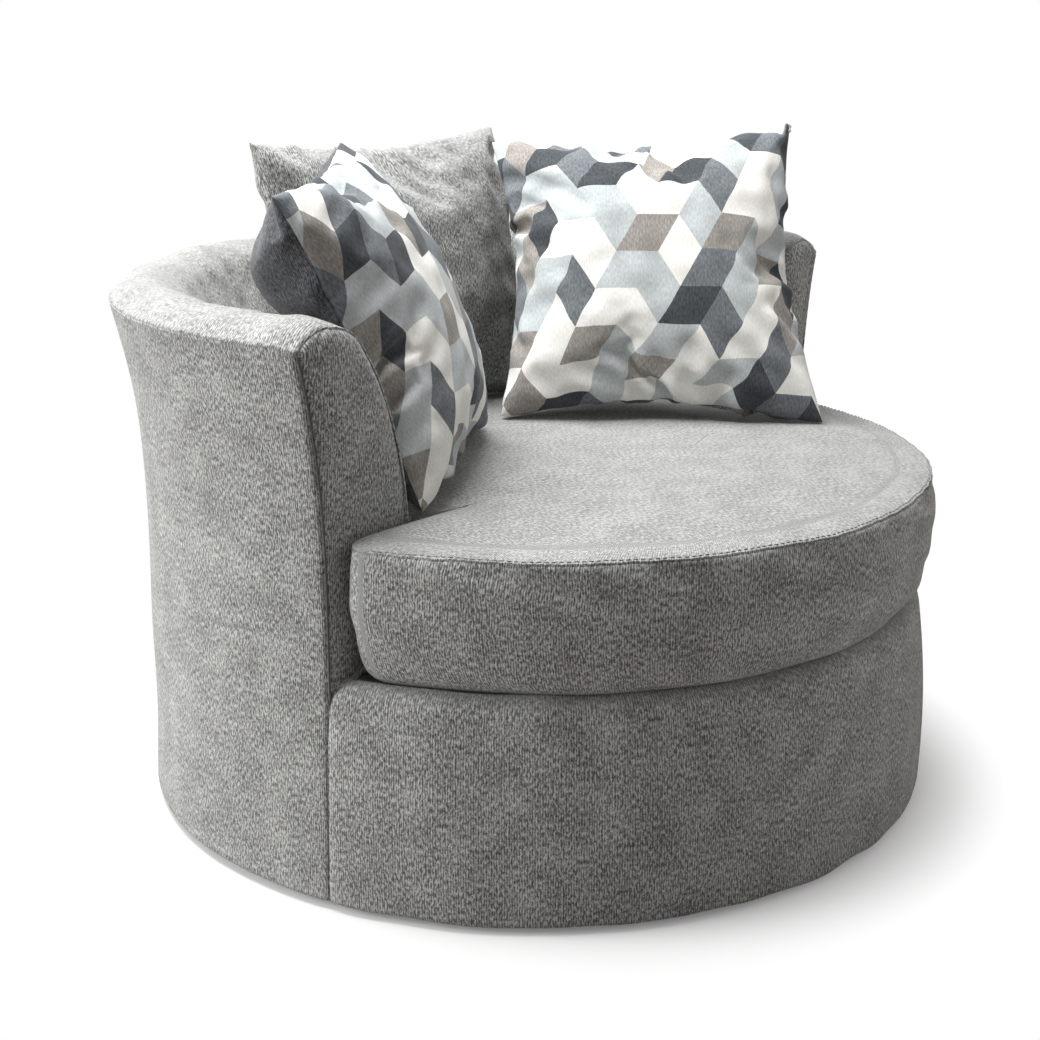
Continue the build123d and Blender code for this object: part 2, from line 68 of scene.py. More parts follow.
class Body(Enum):
    """Rigid bodies of the frame that pieces ride on."""

    BASE = "floor_base"
    BALLS = "ball_ring"
    CHAIR = "chair"
    CUSHION = "seat_cushion"
    SLIDER = "zip_slider"
    BACK = "back_pillow"
    LEFT = "left_accent_pillow"
    RIGHT = "right_accent_pillow"


def linear(colour: str) -> tuple[float, float, float, float]:
    """Turn an sRGB hex colour into linear RGBA.

    Args:
        colour: six hex digits after a hash sign.

    Returns:
        Linear red, green, blue and an alpha of 1.
    """
    parts = np.array([int(colour[i:i + 2], 16) for i in (1, 3, 5)]) / 255.0
    values = np.where(parts <= 0.04045, parts / 12.92, ((parts + 0.055) / 1.055) ** 2.4)
    return (float(values[0]), float(values[1]), float(values[2]), 1.0)


def add_node(tree: bpy.types.NodeTree, kind: str, inputs: Optional[dict[Any, Any]] = None,
             **settings: Any) -> bpy.types.Node:
    """Add one shader node with its settings, socket values and links.

    Args:
        tree: node tree that gets the node.
        kind: Blender's node type.
        inputs: socket name or index to a value, or to the output socket that feeds it.
        **settings: attributes of the node.

    Returns:
        The new node.
    """
    made = tree.nodes.new(kind)
    for name, value in settings.items():
        setattr(made, name, value)
    for key, value in (inputs or {}).items():
        if isinstance(value, bpy.types.NodeSocket):
            tree.links.new(value, made.inputs[key])
        else:
            made.inputs[key].default_value = value
    return made


def set_ramp(ramp: bpy.types.Node, stops: Sequence[tuple[float, str]], constant: bool = False) -> None:
    """Fill a colour ramp.

    Args:
        ramp: the ramp node.
        stops: place and hex colour of each stop.
        constant: hold each colour up to the next stop.
    """
    band = ramp.color_ramp
    band.interpolation = "CONSTANT" if constant else "LINEAR"
    while len(band.elements) < len(stops):
        band.elements.new(1.0)
    for element, (place, colour) in zip(band.elements, stops):
        element.position = place
        element.color = linear(colour)


def set_inputs(shader: bpy.types.Node, values: dict[str, float]) -> None:
    """Set plain values on a shader's sockets.

    Args:
        shader: the shader node.
        values: socket name to value.
    """
    for name, value in values.items():
        shader.inputs[name].default_value = value


def new_material(name: str) -> tuple[bpy.types.Material, bpy.types.NodeTree, bpy.types.Node]:
    """Make an empty node material with one Principled shader.

    Args:
        name: name of the material.

    Returns:
        The material, its node tree and its shader.
    """
    made = bpy.data.materials.new(name)
    made.use_nodes = True
    tree = made.node_tree
    shader = tree.nodes["Principled BSDF"]
    return made, tree, shader


@dataclass(frozen=True)
class Chenille:
    """Heathered chenille: fat soft yarns in ribs along the cloth, pale and dark fibres mixed in the yarn.

    The eye sees a mid grey broken by pale and dark flecks about a yarn wide and twice as long, a matt face,
    and a paler bloom of pile at grazing angles.
    """

    name: str
    dark: str = "#4B4B4B"
    mid: str = "#868785"
    pale: str = "#CACCC8"
    # The photograph doesn't resolve single ribs; this spacing is a guess that reads like its lines.
    rib_mm: float = 3.2
    rib_tone: float = 0.10
    rib_height: float = 0.55
    fleck_mm: float = 2.8
    fleck_length: float = 2.3
    mottle_mm: float = 55.0
    mottle_tone: float = 0.16
    waver_mm: float = 9.0
    waver_reach_mm: float = 2.2
    relief_mm: float = 1.4
    # Painted light: how far the flecks wash out toward the middle grey on cloth that faces up, under the
    # light from above.
    painted_top_washout: float = 0.45

    def material(self) -> bpy.types.Material:
        """Build the cloth from the piece's own weave coordinates, in metres.

        Returns:
            The cloth's material.
        """
        made, tree, shader = new_material(self.name)
        weave = add_node(tree, "ShaderNodeAttribute", attribute_name=WEAVE).outputs["Vector"]
        stretch = add_node(tree, "ShaderNodeMapping", {
            "Vector": weave, "Scale": (1.0, 1.0 / self.fleck_length, 1.0)})
        fleck = add_node(tree, "ShaderNodeTexNoise", {
            "Vector": stretch.outputs[0], "Scale": 1.0 / (self.fleck_mm * MM), "Detail": 4.0,
            "Roughness": 0.72})
        mottle = add_node(tree, "ShaderNodeTexNoise", {
            "Vector": weave, "Scale": 1.0 / (self.mottle_mm * MM), "Detail": 3.0, "Roughness": 0.55})
        waver = add_node(tree, "ShaderNodeTexNoise", {
            "Vector": weave, "Scale": 1.0 / (self.waver_mm * MM), "Detail": 2.0})
        reach = self.waver_reach_mm * MM
        bent = add_node(tree, "ShaderNodeVectorMath", {
            0: waver.outputs["Color"], 1: (reach, reach, 0.0), 2: weave}, operation="MULTIPLY_ADD")
        rib = add_node(tree, "ShaderNodeTexWave", {
            "Vector": bent.outputs[0], "Scale": 1.0 / (self.rib_mm * MM) * WAVE_BAND, "Distortion": 0.0},
            wave_type="BANDS", bands_direction="X")
        ribbed = add_node(tree, "ShaderNodeMath", {
            0: rib.outputs["Fac"], 1: self.rib_tone, 2: fleck.outputs["Fac"]}, operation="MULTIPLY_ADD")
        toned = add_node(tree, "ShaderNodeMath", {
            0: mottle.outputs["Fac"], 1: self.mottle_tone, 2: ribbed.outputs[0]}, operation="MULTIPLY_ADD")
        ramp = add_node(tree, "ShaderNodeValToRGB", {"Fac": toned.outputs[0]})
        set_ramp(ramp, ((0.50, self.dark), (0.62, self.mid), (0.74, self.pale)))
        # The photograph's flecks are fainter on cloth that lies level, so its mix leans to the middle grey.
        # Painted light: the light from above washing out the flecks is painted into the colour, by how far
        # the face points up.
        surface = add_node(tree, "ShaderNodeNewGeometry")
        facing = add_node(tree, "ShaderNodeSeparateXYZ", {0: surface.outputs["Normal"]})
        laid = add_node(tree, "ShaderNodeMapRange", {
            0: facing.outputs["Z"], 1: 0.35, 2: 0.95, 3: 0.0, 4: self.painted_top_washout})
        top_washed_colour = add_node(tree, "ShaderNodeMix", {
            0: laid.outputs[0], 6: ramp.outputs["Color"], 7: linear(self.mid)}, data_type="RGBA")
        height = add_node(tree, "ShaderNodeMath", {
            0: rib.outputs["Fac"], 1: self.rib_height, 2: fleck.outputs["Fac"]}, operation="MULTIPLY_ADD")
        bump = add_node(tree, "ShaderNodeBump", {
            "Height": height.outputs[0], "Strength": 0.40, "Distance": self.relief_mm * MM})
        tree.links.new(top_washed_colour.outputs[2], shader.inputs["Base Color"])
        tree.links.new(bump.outputs["Normal"], shader.inputs["Normal"])
        set_inputs(shader, {"Roughness": 0.92, "IOR": 1.46, "Specular IOR Level": 0.18, "Sheen Weight": 0.22,
                            "Sheen Roughness": 0.55})
        return made


@dataclass(frozen=True)
class ChevronPrint:
    """Jacquard cotton blend: slanted blocks in columns that mirror each other, woven in five yarn colours.

    The eye sees plain white blocks and greys that are the more streaked, the darker their yarns are.
    """

    name: str
    white: str = "#E4E3DE"
    silver: str = "#B4BABB"
    taupe: str = "#908C87"
    slate: str = "#6B7074"
    charcoal: str = "#43474B"
    column_mm: float = 50.0
    block_mm: float = 62.0
    slant_deg: float = 30.0
    streak_mm: float = 2.2
    streak_length: float = 0.34
    streak_depth: float = 0.38
    turn_deg: float = 30.0

    def material(self) -> bpy.types.Material:
        """Build the blocks from the pillow's own weave coordinates, in metres.

        Columns are numbered across the cloth and rows along it, slanted up and down in turn. A block's colour
        is step 3 column + 2 row of seven, and one step more where a coin thrown for the block says so.

        Returns:
            The cloth's material.
        """
        made, tree, shader = new_material(self.name)
        source = add_node(tree, "ShaderNodeAttribute", attribute_name=WEAVE).outputs["Vector"]
        weave = add_node(tree, "ShaderNodeMapping", {
            "Vector": source, "Rotation": (0.0, 0.0, math.radians(self.turn_deg))}).outputs[0]
        split = add_node(tree, "ShaderNodeSeparateXYZ", {0: weave})
        width = self.column_mm * MM
        column = add_node(tree, "ShaderNodeMath", {0: split.outputs["X"], 1: width}, operation="DIVIDE")
        number = add_node(tree, "ShaderNodeMath", {0: column.outputs[0]}, operation="FLOOR")
        zigzag = add_node(tree, "ShaderNodeMath", {0: split.outputs["X"], 1: width}, operation="PINGPONG")
        climb = add_node(tree, "ShaderNodeMath", {
            0: zigzag.outputs[0], 1: math.tan(math.radians(self.slant_deg)), 2: split.outputs["Y"]},
            operation="MULTIPLY_ADD")
        height = self.block_mm * MM
        row = add_node(tree, "ShaderNodeMath", {0: climb.outputs[0], 1: height}, operation="DIVIDE")
        row_number = add_node(tree, "ShaderNodeMath", {0: row.outputs[0]}, operation="FLOOR")
        seed = add_node(tree, "ShaderNodeCombineXYZ", {
            0: number.outputs[0], 1: row_number.outputs[0], 2: 4.0})
        coin = add_node(tree, "ShaderNodeTexWhiteNoise", {"Vector": seed.outputs[0]}, noise_dimensions="3D")
        flip = add_node(tree, "ShaderNodeMath", {0: coin.outputs["Value"]}, operation="ROUND")
        step = add_node(tree, "ShaderNodeMath", {0: number.outputs[0], 1: 3.0, 2: flip.outputs[0]},
                        operation="MULTIPLY_ADD")
        count = add_node(tree, "ShaderNodeMath", {0: row_number.outputs[0], 1: 2.0, 2: step.outputs[0]},
                         operation="MULTIPLY_ADD")
        order = (self.white, self.charcoal, self.silver, self.white, self.slate, self.taupe, self.silver)
        steps = float(len(order))
        place = add_node(tree, "ShaderNodeMath", {0: count.outputs[0], 1: 0.5}, operation="ADD")
        turns = add_node(tree, "ShaderNodeMath", {0: place.outputs[0], 1: steps}, operation="DIVIDE")
        pick = add_node(tree, "ShaderNodeMath", {0: turns.outputs[0]}, operation="FRACT")
        ramp = add_node(tree, "ShaderNodeValToRGB", {"Fac": pick.outputs[0]})
        set_ramp(ramp, [(i / steps, colour) for i, colour in enumerate(order)], constant=True)
        stretch = add_node(tree, "ShaderNodeMapping", {
            "Vector": source, "Scale": (1.0, self.streak_length, 1.0)})
        streak = add_node(tree, "ShaderNodeTexNoise", {
            "Vector": stretch.outputs[0], "Scale": 1.0 / (self.streak_mm * MM), "Detail": 2.0})
        shade = add_node(tree, "ShaderNodeMapRange", {
            0: streak.outputs["Fac"], 1: 0.3, 2: 0.7, 3: 1.0 - self.streak_depth, 4: 1.0 + self.streak_depth})
        level = add_node(tree, "ShaderNodeRGBToBW", {0: ramp.outputs["Color"]})
        streaked = add_node(tree, "ShaderNodeMapRange", {
            0: level.outputs[0], 1: 0.10, 2: 0.60, 3: 1.0, 4: 0.22})
        cloth = add_node(tree, "ShaderNodeMix", {
            0: streaked.outputs[0], 6: ramp.outputs["Color"], 7: shade.outputs[0]},
            data_type="RGBA", blend_type="MULTIPLY")
        bump = add_node(tree, "ShaderNodeBump", {
            "Height": streak.outputs["Fac"], "Strength": 0.35, "Distance": 0.8 * MM})
        tree.links.new(cloth.outputs[2], shader.inputs["Base Color"])
        tree.links.new(bump.outputs["Normal"], shader.inputs["Normal"])
        set_inputs(shader, {"Roughness": 0.88, "Specular IOR Level": 0.2, "Sheen Weight": 0.08})
        return made


@dataclass(frozen=True)
class Flecked:
    """Plain material with a fine irregular grain: timber, board, foam, thread, cloth, plastic or steel.

    The eye sees one colour broken softly between a dark and a pale tone, drawn out along the grain.
    """

    name: str
    dark: str
    pale: str
    grain_mm: float = 2.0
    stretch: tuple[float, float, float] = (1.0, 1.0, 1.0)
    roughness: float = 0.7
    metallic: float = 0.0
    bump: float = 0.2

    def material(self) -> bpy.types.Material:
        """Build the grain on Object coordinates.

        Returns:
            The material.
        """
        made, tree, shader = new_material(self.name)
        place = add_node(tree, "ShaderNodeTexCoord").outputs["Object"]
        scaled = add_node(tree, "ShaderNodeMapping", {"Vector": place, "Scale": self.stretch})
        grain = add_node(tree, "ShaderNodeTexNoise", {
            "Vector": scaled.outputs[0], "Scale": 1.0 / (self.grain_mm * MM), "Detail": 4.0})
        ramp = add_node(tree, "ShaderNodeValToRGB", {"Fac": grain.outputs["Fac"]})
        set_ramp(ramp, ((0.30, self.dark), (0.70, self.pale)))
        bump = add_node(tree, "ShaderNodeBump", {
            "Height": grain.outputs["Fac"], "Strength": self.bump, "Distance": 0.3 * MM})
        tree.links.new(ramp.outputs["Color"], shader.inputs["Base Color"])
        tree.links.new(bump.outputs["Normal"], shader.inputs["Normal"])
        set_inputs(shader, {"Roughness": self.roughness, "Metallic": self.metallic})
        return made


# Cover of the whole chair: soft mid grey with pale and dark flecks.
CHENILLE = Chenille("grey_chenille")
# Front of the accent pillows: crisp white and grey blocks.
ACCENT_FRONT = ChevronPrint("woven_chevron_blocks")
# Back of the accent pillows: charcoal, faintly flecked.
ACCENT_BACK = Chenille("charcoal_plain_weave", dark="#27282B", mid="#404145", pale="#626468", rib_mm=2.6)
# Twill over the deck: an even dark grey, hidden under the cushion.
DECKING = Flecked("decking_twill", "#4C4D4C", "#646564", 1.6)
# Polyester thread of the stitches: a little darker than the level cloth around it.
SEWING = Flecked("sewing_thread", "#6E706E", "#8E908D", 1.0)
# Painted shade in the side seams: a matt dark cord that stands for the shaded valley between two covers.
SEAM_SHADE_CORD = Flecked("painted_seam_shade_cord", "#454545", "#5C5C5B", 1.0, roughness=0.95)
INNER_FINISHES = {
    # Pale tan sheet with a long grain.
    "plywood": Flecked("birch_plywood", "#B08D5E", "#CDAE80", 6.0, (0.12, 1.0, 1.0), 0.65),
    # Light brown sawn timber with an upright grain.
    "hardwood": Flecked("sawn_poplar", "#9A7A50", "#BC9C70", 5.0, (1.0, 1.0, 0.1), 0.7),
    # Dark brown pressed board.
    "fibreboard": Flecked("tempered_hardboard", "#5A4430", "#73593F", 1.5, roughness=0.6),
    # Light grey metal with soft reflections.
    "steel": Flecked("zinc_plated_steel", "#9C9D9E", "#B8B9BA", 1.2, roughness=0.34, metallic=1.0, bump=0.05),
    # Milky moulded plastic, half matt.
    "cage_plastic": Flecked("natural_nylon", "#D9D7CE", "#E6E4DB", 3.0, roughness=0.5, bump=0.05),
    # Black moulded plastic, half matt.
    "glide_plastic": Flecked("black_polyethylene", "#151515", "#222222", 2.0, roughness=0.5, bump=0.1),
    # Pale yellow open foam.
    "foam": Flecked("seat_foam", "#D8CCA0", "#E8DEB8", 1.5, roughness=0.95),
    # White fluffy fill.
    "fibre_fill": Flecked("polyester_fibre", "#DEDEDA", "#EFEFEC", 1.5, roughness=0.95),
    # Flat black bonded cloth.
    "dust_cloth": Flecked("black_spunbond", "#121212", "#202020", 1.0, roughness=0.95),
    # Dark grey woven tape.
    "zip_tape": Flecked("grey_zip_tape", "#4A4B4A", "#5E5F5E", 1.0, roughness=0.9),
    "deck_fabric": DECKING,
}
MATERIALS: dict[str, bpy.types.Material] = {}


def finish_of(finish: Any) -> bpy.types.Material:
    """Give a finish's material, made once.

    Args:
        finish: any of the finish classes.

    Returns:
        The Blender material.
    """
    if finish.name not in MATERIALS:
        MATERIALS[finish.name] = finish.material()
    return MATERIALS[finish.name]


def smooth_noise(u: np.ndarray, v: np.ndarray, size: float, seed: int, waves: int = 14) -> np.ndarray:
    """Soft uneven field: a sum of plane waves of about one length in seeded directions and phases.

    Args:
        u: first coordinate in metres.
        v: second coordinate in metres.
        size: typical wave length in metres.
        seed: seed of the random draws.
        waves: number of waves that are added.

    Returns:
        Values of about -1 to 1, in the shape of u.
    """
    draw = np.random.default_rng(seed)
    angle = draw.uniform(0.0, 2.0 * np.pi, waves)
    phase = draw.uniform(0.0, 2.0 * np.pi, waves)
    number = 2.0 * np.pi / (size * draw.uniform(0.7, 1.5, waves))
    run = (u[..., None] * np.cos(angle) + v[..., None] * np.sin(angle)) * number + phase
    return np.sin(run).sum(axis=-1) / math.sqrt(waves)


@dataclass(frozen=True)
class Unevenness:
    """Soft unevenness of a padded face: its depth, its typical wave length and its own seed."""

    depth: float
    size: float
    seed: int

    def over(self, u: np.ndarray, v: np.ndarray) -> np.ndarray:
        """Depth x smooth noise over two coordinates in metres."""
        return self.depth * smooth_noise(u, v, self.size, self.seed)


def grid_faces(rows: int, columns: int, wrap: bool = False) -> np.ndarray:
    """Quads of a grid, as vertex numbers.

    Args:
        rows: number of rows of points.
        columns: number of columns of points.
        wrap: close the columns to a ring.

    Returns:
        Vertex numbers, quads by 4.
    """
    here = np.arange(rows - 1)[:, None] * columns
    above = here + columns
    column = np.arange(columns if wrap else columns - 1)[None, :]
    after = (column + 1) % columns
    return np.stack((here + column, here + after, above + after, above + column), axis=-1).reshape(-1, 4)


def closed_loop(path: np.ndarray) -> np.ndarray:
    """The path with its first point again at its end."""
    return np.concatenate((path, path[:1]))


def unit(vectors: np.ndarray) -> np.ndarray:
    """Vectors along the last axis, each brought to a length of 1."""
    return vectors / np.linalg.norm(vectors, axis=-1, keepdims=True)


def fade(value: np.ndarray, start: Any, span: float) -> np.ndarray:
    """Straight ramp from 0 at start to 1 after span, held at both ends."""
    return np.clip((value - start) / span, 0.0, 1.0)


def bell(value: np.ndarray, middle: Any, width: float) -> np.ndarray:
    """Bell curve exp(-((value - middle) / width)^2)."""
    return np.exp(-(((value - middle) / width) ** 2))


@dataclass
class Piece:
    """One finished mesh, with the body it rides on, its finish, its modifiers and the frame's nodes that it
    hides.
    """

    name: str
    body: Body
    slot: str
    finish: Any
    replaces: tuple[str, ...] = ()
    padded: Optional[float] = None
    thickness: float = 0.0
    levels: int = 0

    def make(self, points: np.ndarray, faces: np.ndarray, weave: np.ndarray) -> bpy.types.Object:
        """Put whole arrays into a mesh object and dress it.

        Args:
            points: vertex places, n by 3.
            faces: quads as vertex numbers, m by 4.
            weave: cloth coordinates of each vertex in metres, n by 2.

        Returns:
            The finished object.
        """
        mesh = bpy.data.meshes.new(self.name)
        mesh.from_pydata(points.tolist(), [], faces.tolist())
        mesh.validate()
        cloth = np.zeros((len(points), 3))
        cloth[:, :2] = weave
        mesh.attributes.new(WEAVE, "FLOAT_VECTOR", "POINT").data.foreach_set("vector", cloth.ravel())
        mesh.polygons.foreach_set("use_smooth", np.ones(len(mesh.polygons), dtype=bool))
        made = bpy.data.objects.new(self.name, mesh)
        bpy.context.scene.collection.objects.link(made)
        return self.dress(made)

    def dress(self, made: bpy.types.Object) -> bpy.types.Object:
        """Give the object its material, modifiers and frame calls.

        Args:
            made: object whose mesh is final.

        Returns:
            The same object.
        """
        made.data.materials.append(finish_of(self.finish))
        if self.thickness:
            shell = made.modifiers.new("cloth_thickness", "SOLIDIFY")
            shell.thickness = self.thickness
            shell.offset = -1.0
        if self.levels:
            smooth = made.modifiers.new("soft_surface", "SUBSURF")
            smooth.levels = self.levels
            smooth.render_levels = self.levels
        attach(made, self.body.value)
        if self.replaces:
            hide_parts(*self.replaces)
        LOG.info("piece %s: %d faces", self.name, len(made.data.polygons))
        return made


def upright_arc(start: tuple[float, float], end: tuple[float, float], count: int) -> np.ndarray:
    """Arc in radius and height that stands upright at start: radius = r0 + b - sqrt(b^2 - (z - z0)^2).

    Args:
        start: radius and height where the arc is upright.
        end: radius and height where it ends.
        count: number of points.

    Returns:
        Points from start to end, count by 2.
    """
    rise = end[1] - start[1]
    swell = end[0] - start[0]
    bend = (swell**2 + rise**2) / (2.0 * swell)
    z = np.linspace(start[1], end[1], count)
    r = start[0] + bend - np.sign(bend) * np.sqrt(bend**2 - (z - start[1]) ** 2)
    return np.stack((r, z), axis=-1)


def level_arc(crown: tuple[float, float], end: tuple[float, float], count: int) -> np.ndarray:
    """Arc in radius and height that lies level at the crown, by equal angles from crown to end.

    Args:
        crown: radius and height where the arc is level.
        end: radius and height where it ends.
        count: number of points.

    Returns:
        Points from crown to end, count by 2.
    """
    run = end[0] - crown[0]
    fall = crown[1] - end[1]
    bend = (run**2 + fall**2) / (2.0 * fall)
    angle = np.linspace(0.0, math.asin(min(1.0, abs(run) / bend)), count)
    r = crown[0] + math.copysign(1.0, run) * bend * np.sin(angle)
    z = crown[1] - bend * (1.0 - np.cos(angle))
    return np.stack((r, z), axis=-1)


def run_length(path: np.ndarray) -> np.ndarray:
    """Length along a path up to each of its points."""
    steps = np.linalg.norm(np.diff(path, axis=0), axis=1)
    return np.concatenate(([0.0], np.cumsum(steps)))


def even_path(path: np.ndarray, count: int) -> np.ndarray:
    """The same path with points spaced evenly along it.

    Args:
        path: points of the path, n by 2 or 3.
        count: number of points wanted.

    Returns:
        Points, count by 2 or 3.
    """
    length = run_length(path)
    where = np.linspace(0.0, length[-1], count)
    return np.stack([np.interp(where, length, path[:, i]) for i in range(path.shape[1])], axis=-1)


@dataclass
class BarrelSizes:
    """Sizes of the padded wall, in metres, as the frame's solids have them."""

    hem: tuple[float, float] = (0.585, 0.010)
    waist: tuple[float, float] = (0.576, 0.440)
    seam: tuple[float, float] = (0.610, 0.738)
    crown: tuple[float, float] = (0.556, 0.766)
    brow: tuple[float, float] = (0.500, 0.730)
    inner: tuple[float, float] = (0.430, 0.470)
    tuck_z: float = 0.282
    arm_front: float = 0.120
    deck_top: float = 0.308
    apron_roll: tuple[float, float] = (0.573, 0.284)
    apron_edge: float = 0.547
    apron_belly: float = 0.0015
    hem_fold: float = 0.030
    hem_bend: float = 0.004

    def hem_turn(self) -> np.ndarray:
        """The cloth turned in under the hem, as two points of a profile."""
        radius, height = self.hem
        return np.array([(radius - self.hem_fold, height), (radius - self.hem_bend, height)])

    def outside(self, count: int) -> np.ndarray:
        """Profile of the outside, from the turned-in hem up to the rim seam: two arcs upright at the waist.

        Args:
            count: number of points.

        Returns:
            Radius and height, count by 2.
        """
        lower = upright_arc(self.waist, self.hem, 40)[::-1]
        upper = upright_arc(self.waist, self.seam, 40)[1:]
        lower[0, 1] += self.hem_bend
        return even_path(np.concatenate((self.hem_turn(), lower, upper)), count)

    def inside(self, count: int) -> np.ndarray:
        """Profile from the rim seam over the crown and down the inside to the deck: three arcs and a line.

        Args:
            count: number of points.

        Returns:
            Radius and height, count by 2.
        """
        over = level_arc(self.crown, self.seam, 16)[::-1]
        down = level_arc(self.crown, self.brow, 16)[1:]
        wall = upright_arc(self.inner, self.brow, 40)[::-1][1:]
        foot = np.array([(self.inner[0], self.tuck_z)])
        return even_path(np.concatenate((over, down, wall, foot)), count)

    def apron(self, count: int) -> np.ndarray:
        """Profile of the apron from the turned-in hem up and over its rolled top to the deck.

        Its face has a slight belly, a half sine over the height, and draws in with the power 2.6 of it.

        Args:
            count: number of points.

        Returns:
            Radius and height, count by 2.
        """
        z = np.linspace(self.hem[1] + self.hem_bend, self.apron_roll[1], 40)
        share = (z - self.hem[1]) / (self.apron_roll[1] - self.hem[1])
        fall = (self.hem[0] - self.apron_roll[0]) * share**2.6
        face = np.stack((self.hem[0] + self.apron_belly * np.sin(np.pi * share) - fall, z), axis=-1)
        roll = level_arc((self.apron_edge, self.deck_top), self.apron_roll, 14)[::-1][1:]
        return even_path(np.concatenate((self.hem_turn(), face, roll)), count)


def turned_sheet(profile: np.ndarray, plane_y: float, back: bool,
                 columns: int) -> tuple[np.ndarray, np.ndarray]:
    """Carry a profile round the swivel axis, ending each level on a plane across the chair.

    The angle of each point runs evenly between the two places where its radius meets the plane y = plane_y.

    Args:
        profile: radius and height, n by 2.
        plane_y: the plane where the sheet's two ends lie.
        back: carry it round the back, or round the front.
        columns: number of columns.

    Returns:
        Points, n by columns by 3, and cloth coordinates, n by columns by 2.
    """
    radius = profile[:, :1]
    edge = np.arcsin(np.clip(plane_y / radius, -1.0, 1.0))
    share = np.linspace(0.0, 1.0, columns)[None, :]
    if back:
        angle = (np.pi - edge) * (1.0 - share) + edge * share
    else:
        angle = (np.pi - edge) * (1.0 - share) + (2.0 * np.pi + edge) * share
    x = radius * np.cos(angle)
    y = radius * np.sin(angle)
    z = np.broadcast_to(profile[:, 1:], x.shape)
    along = np.broadcast_to(run_length(profile)[:, None], x.shape)
    across = angle * float(np.max(radius))
    return np.stack((x, y, z), axis=-1), np.stack((across, along), axis=-1)


@dataclass(frozen=True)
class SlackCrease:
    """Short level crease low on the left of the outside cover, with a soft fold above it."""

    angle_deg: float = 177.0
    reach_deg: float = 5.5
    height: float = 0.352
    wave: float = 3.0 * MM
    waves_per_radian: float = 22.0
    depth: float = 4.0 * MM
    width: float = 3.5 * MM
    fold_rise: float = 2.2 * MM
    fold_above: float = 11.0 * MM
    fold_width: float = 6.0 * MM

    def over(self, points: np.ndarray) -> np.ndarray:
        """Way along the sheet's normal: a narrow bell inwards and a wider one outwards, over the height.

        Args:
            points: n by columns by 3.

        Returns:
            Metres, n by columns.
        """
        off = np.degrees(np.arctan2(points[..., 1], points[..., 0])) % 360.0 - self.angle_deg
        middle = self.height + self.wave * np.sin(np.radians(off) * self.waves_per_radian)
        reach = np.clip(1.0 - np.abs(off) / self.reach_deg, 0.0, 1.0) ** 0.6
        crease = -self.depth * reach * bell(points[..., 2], middle, self.width)
        fold = self.fold_rise * reach * bell(points[..., 2], middle + self.fold_above, self.fold_width)
        return crease + fold


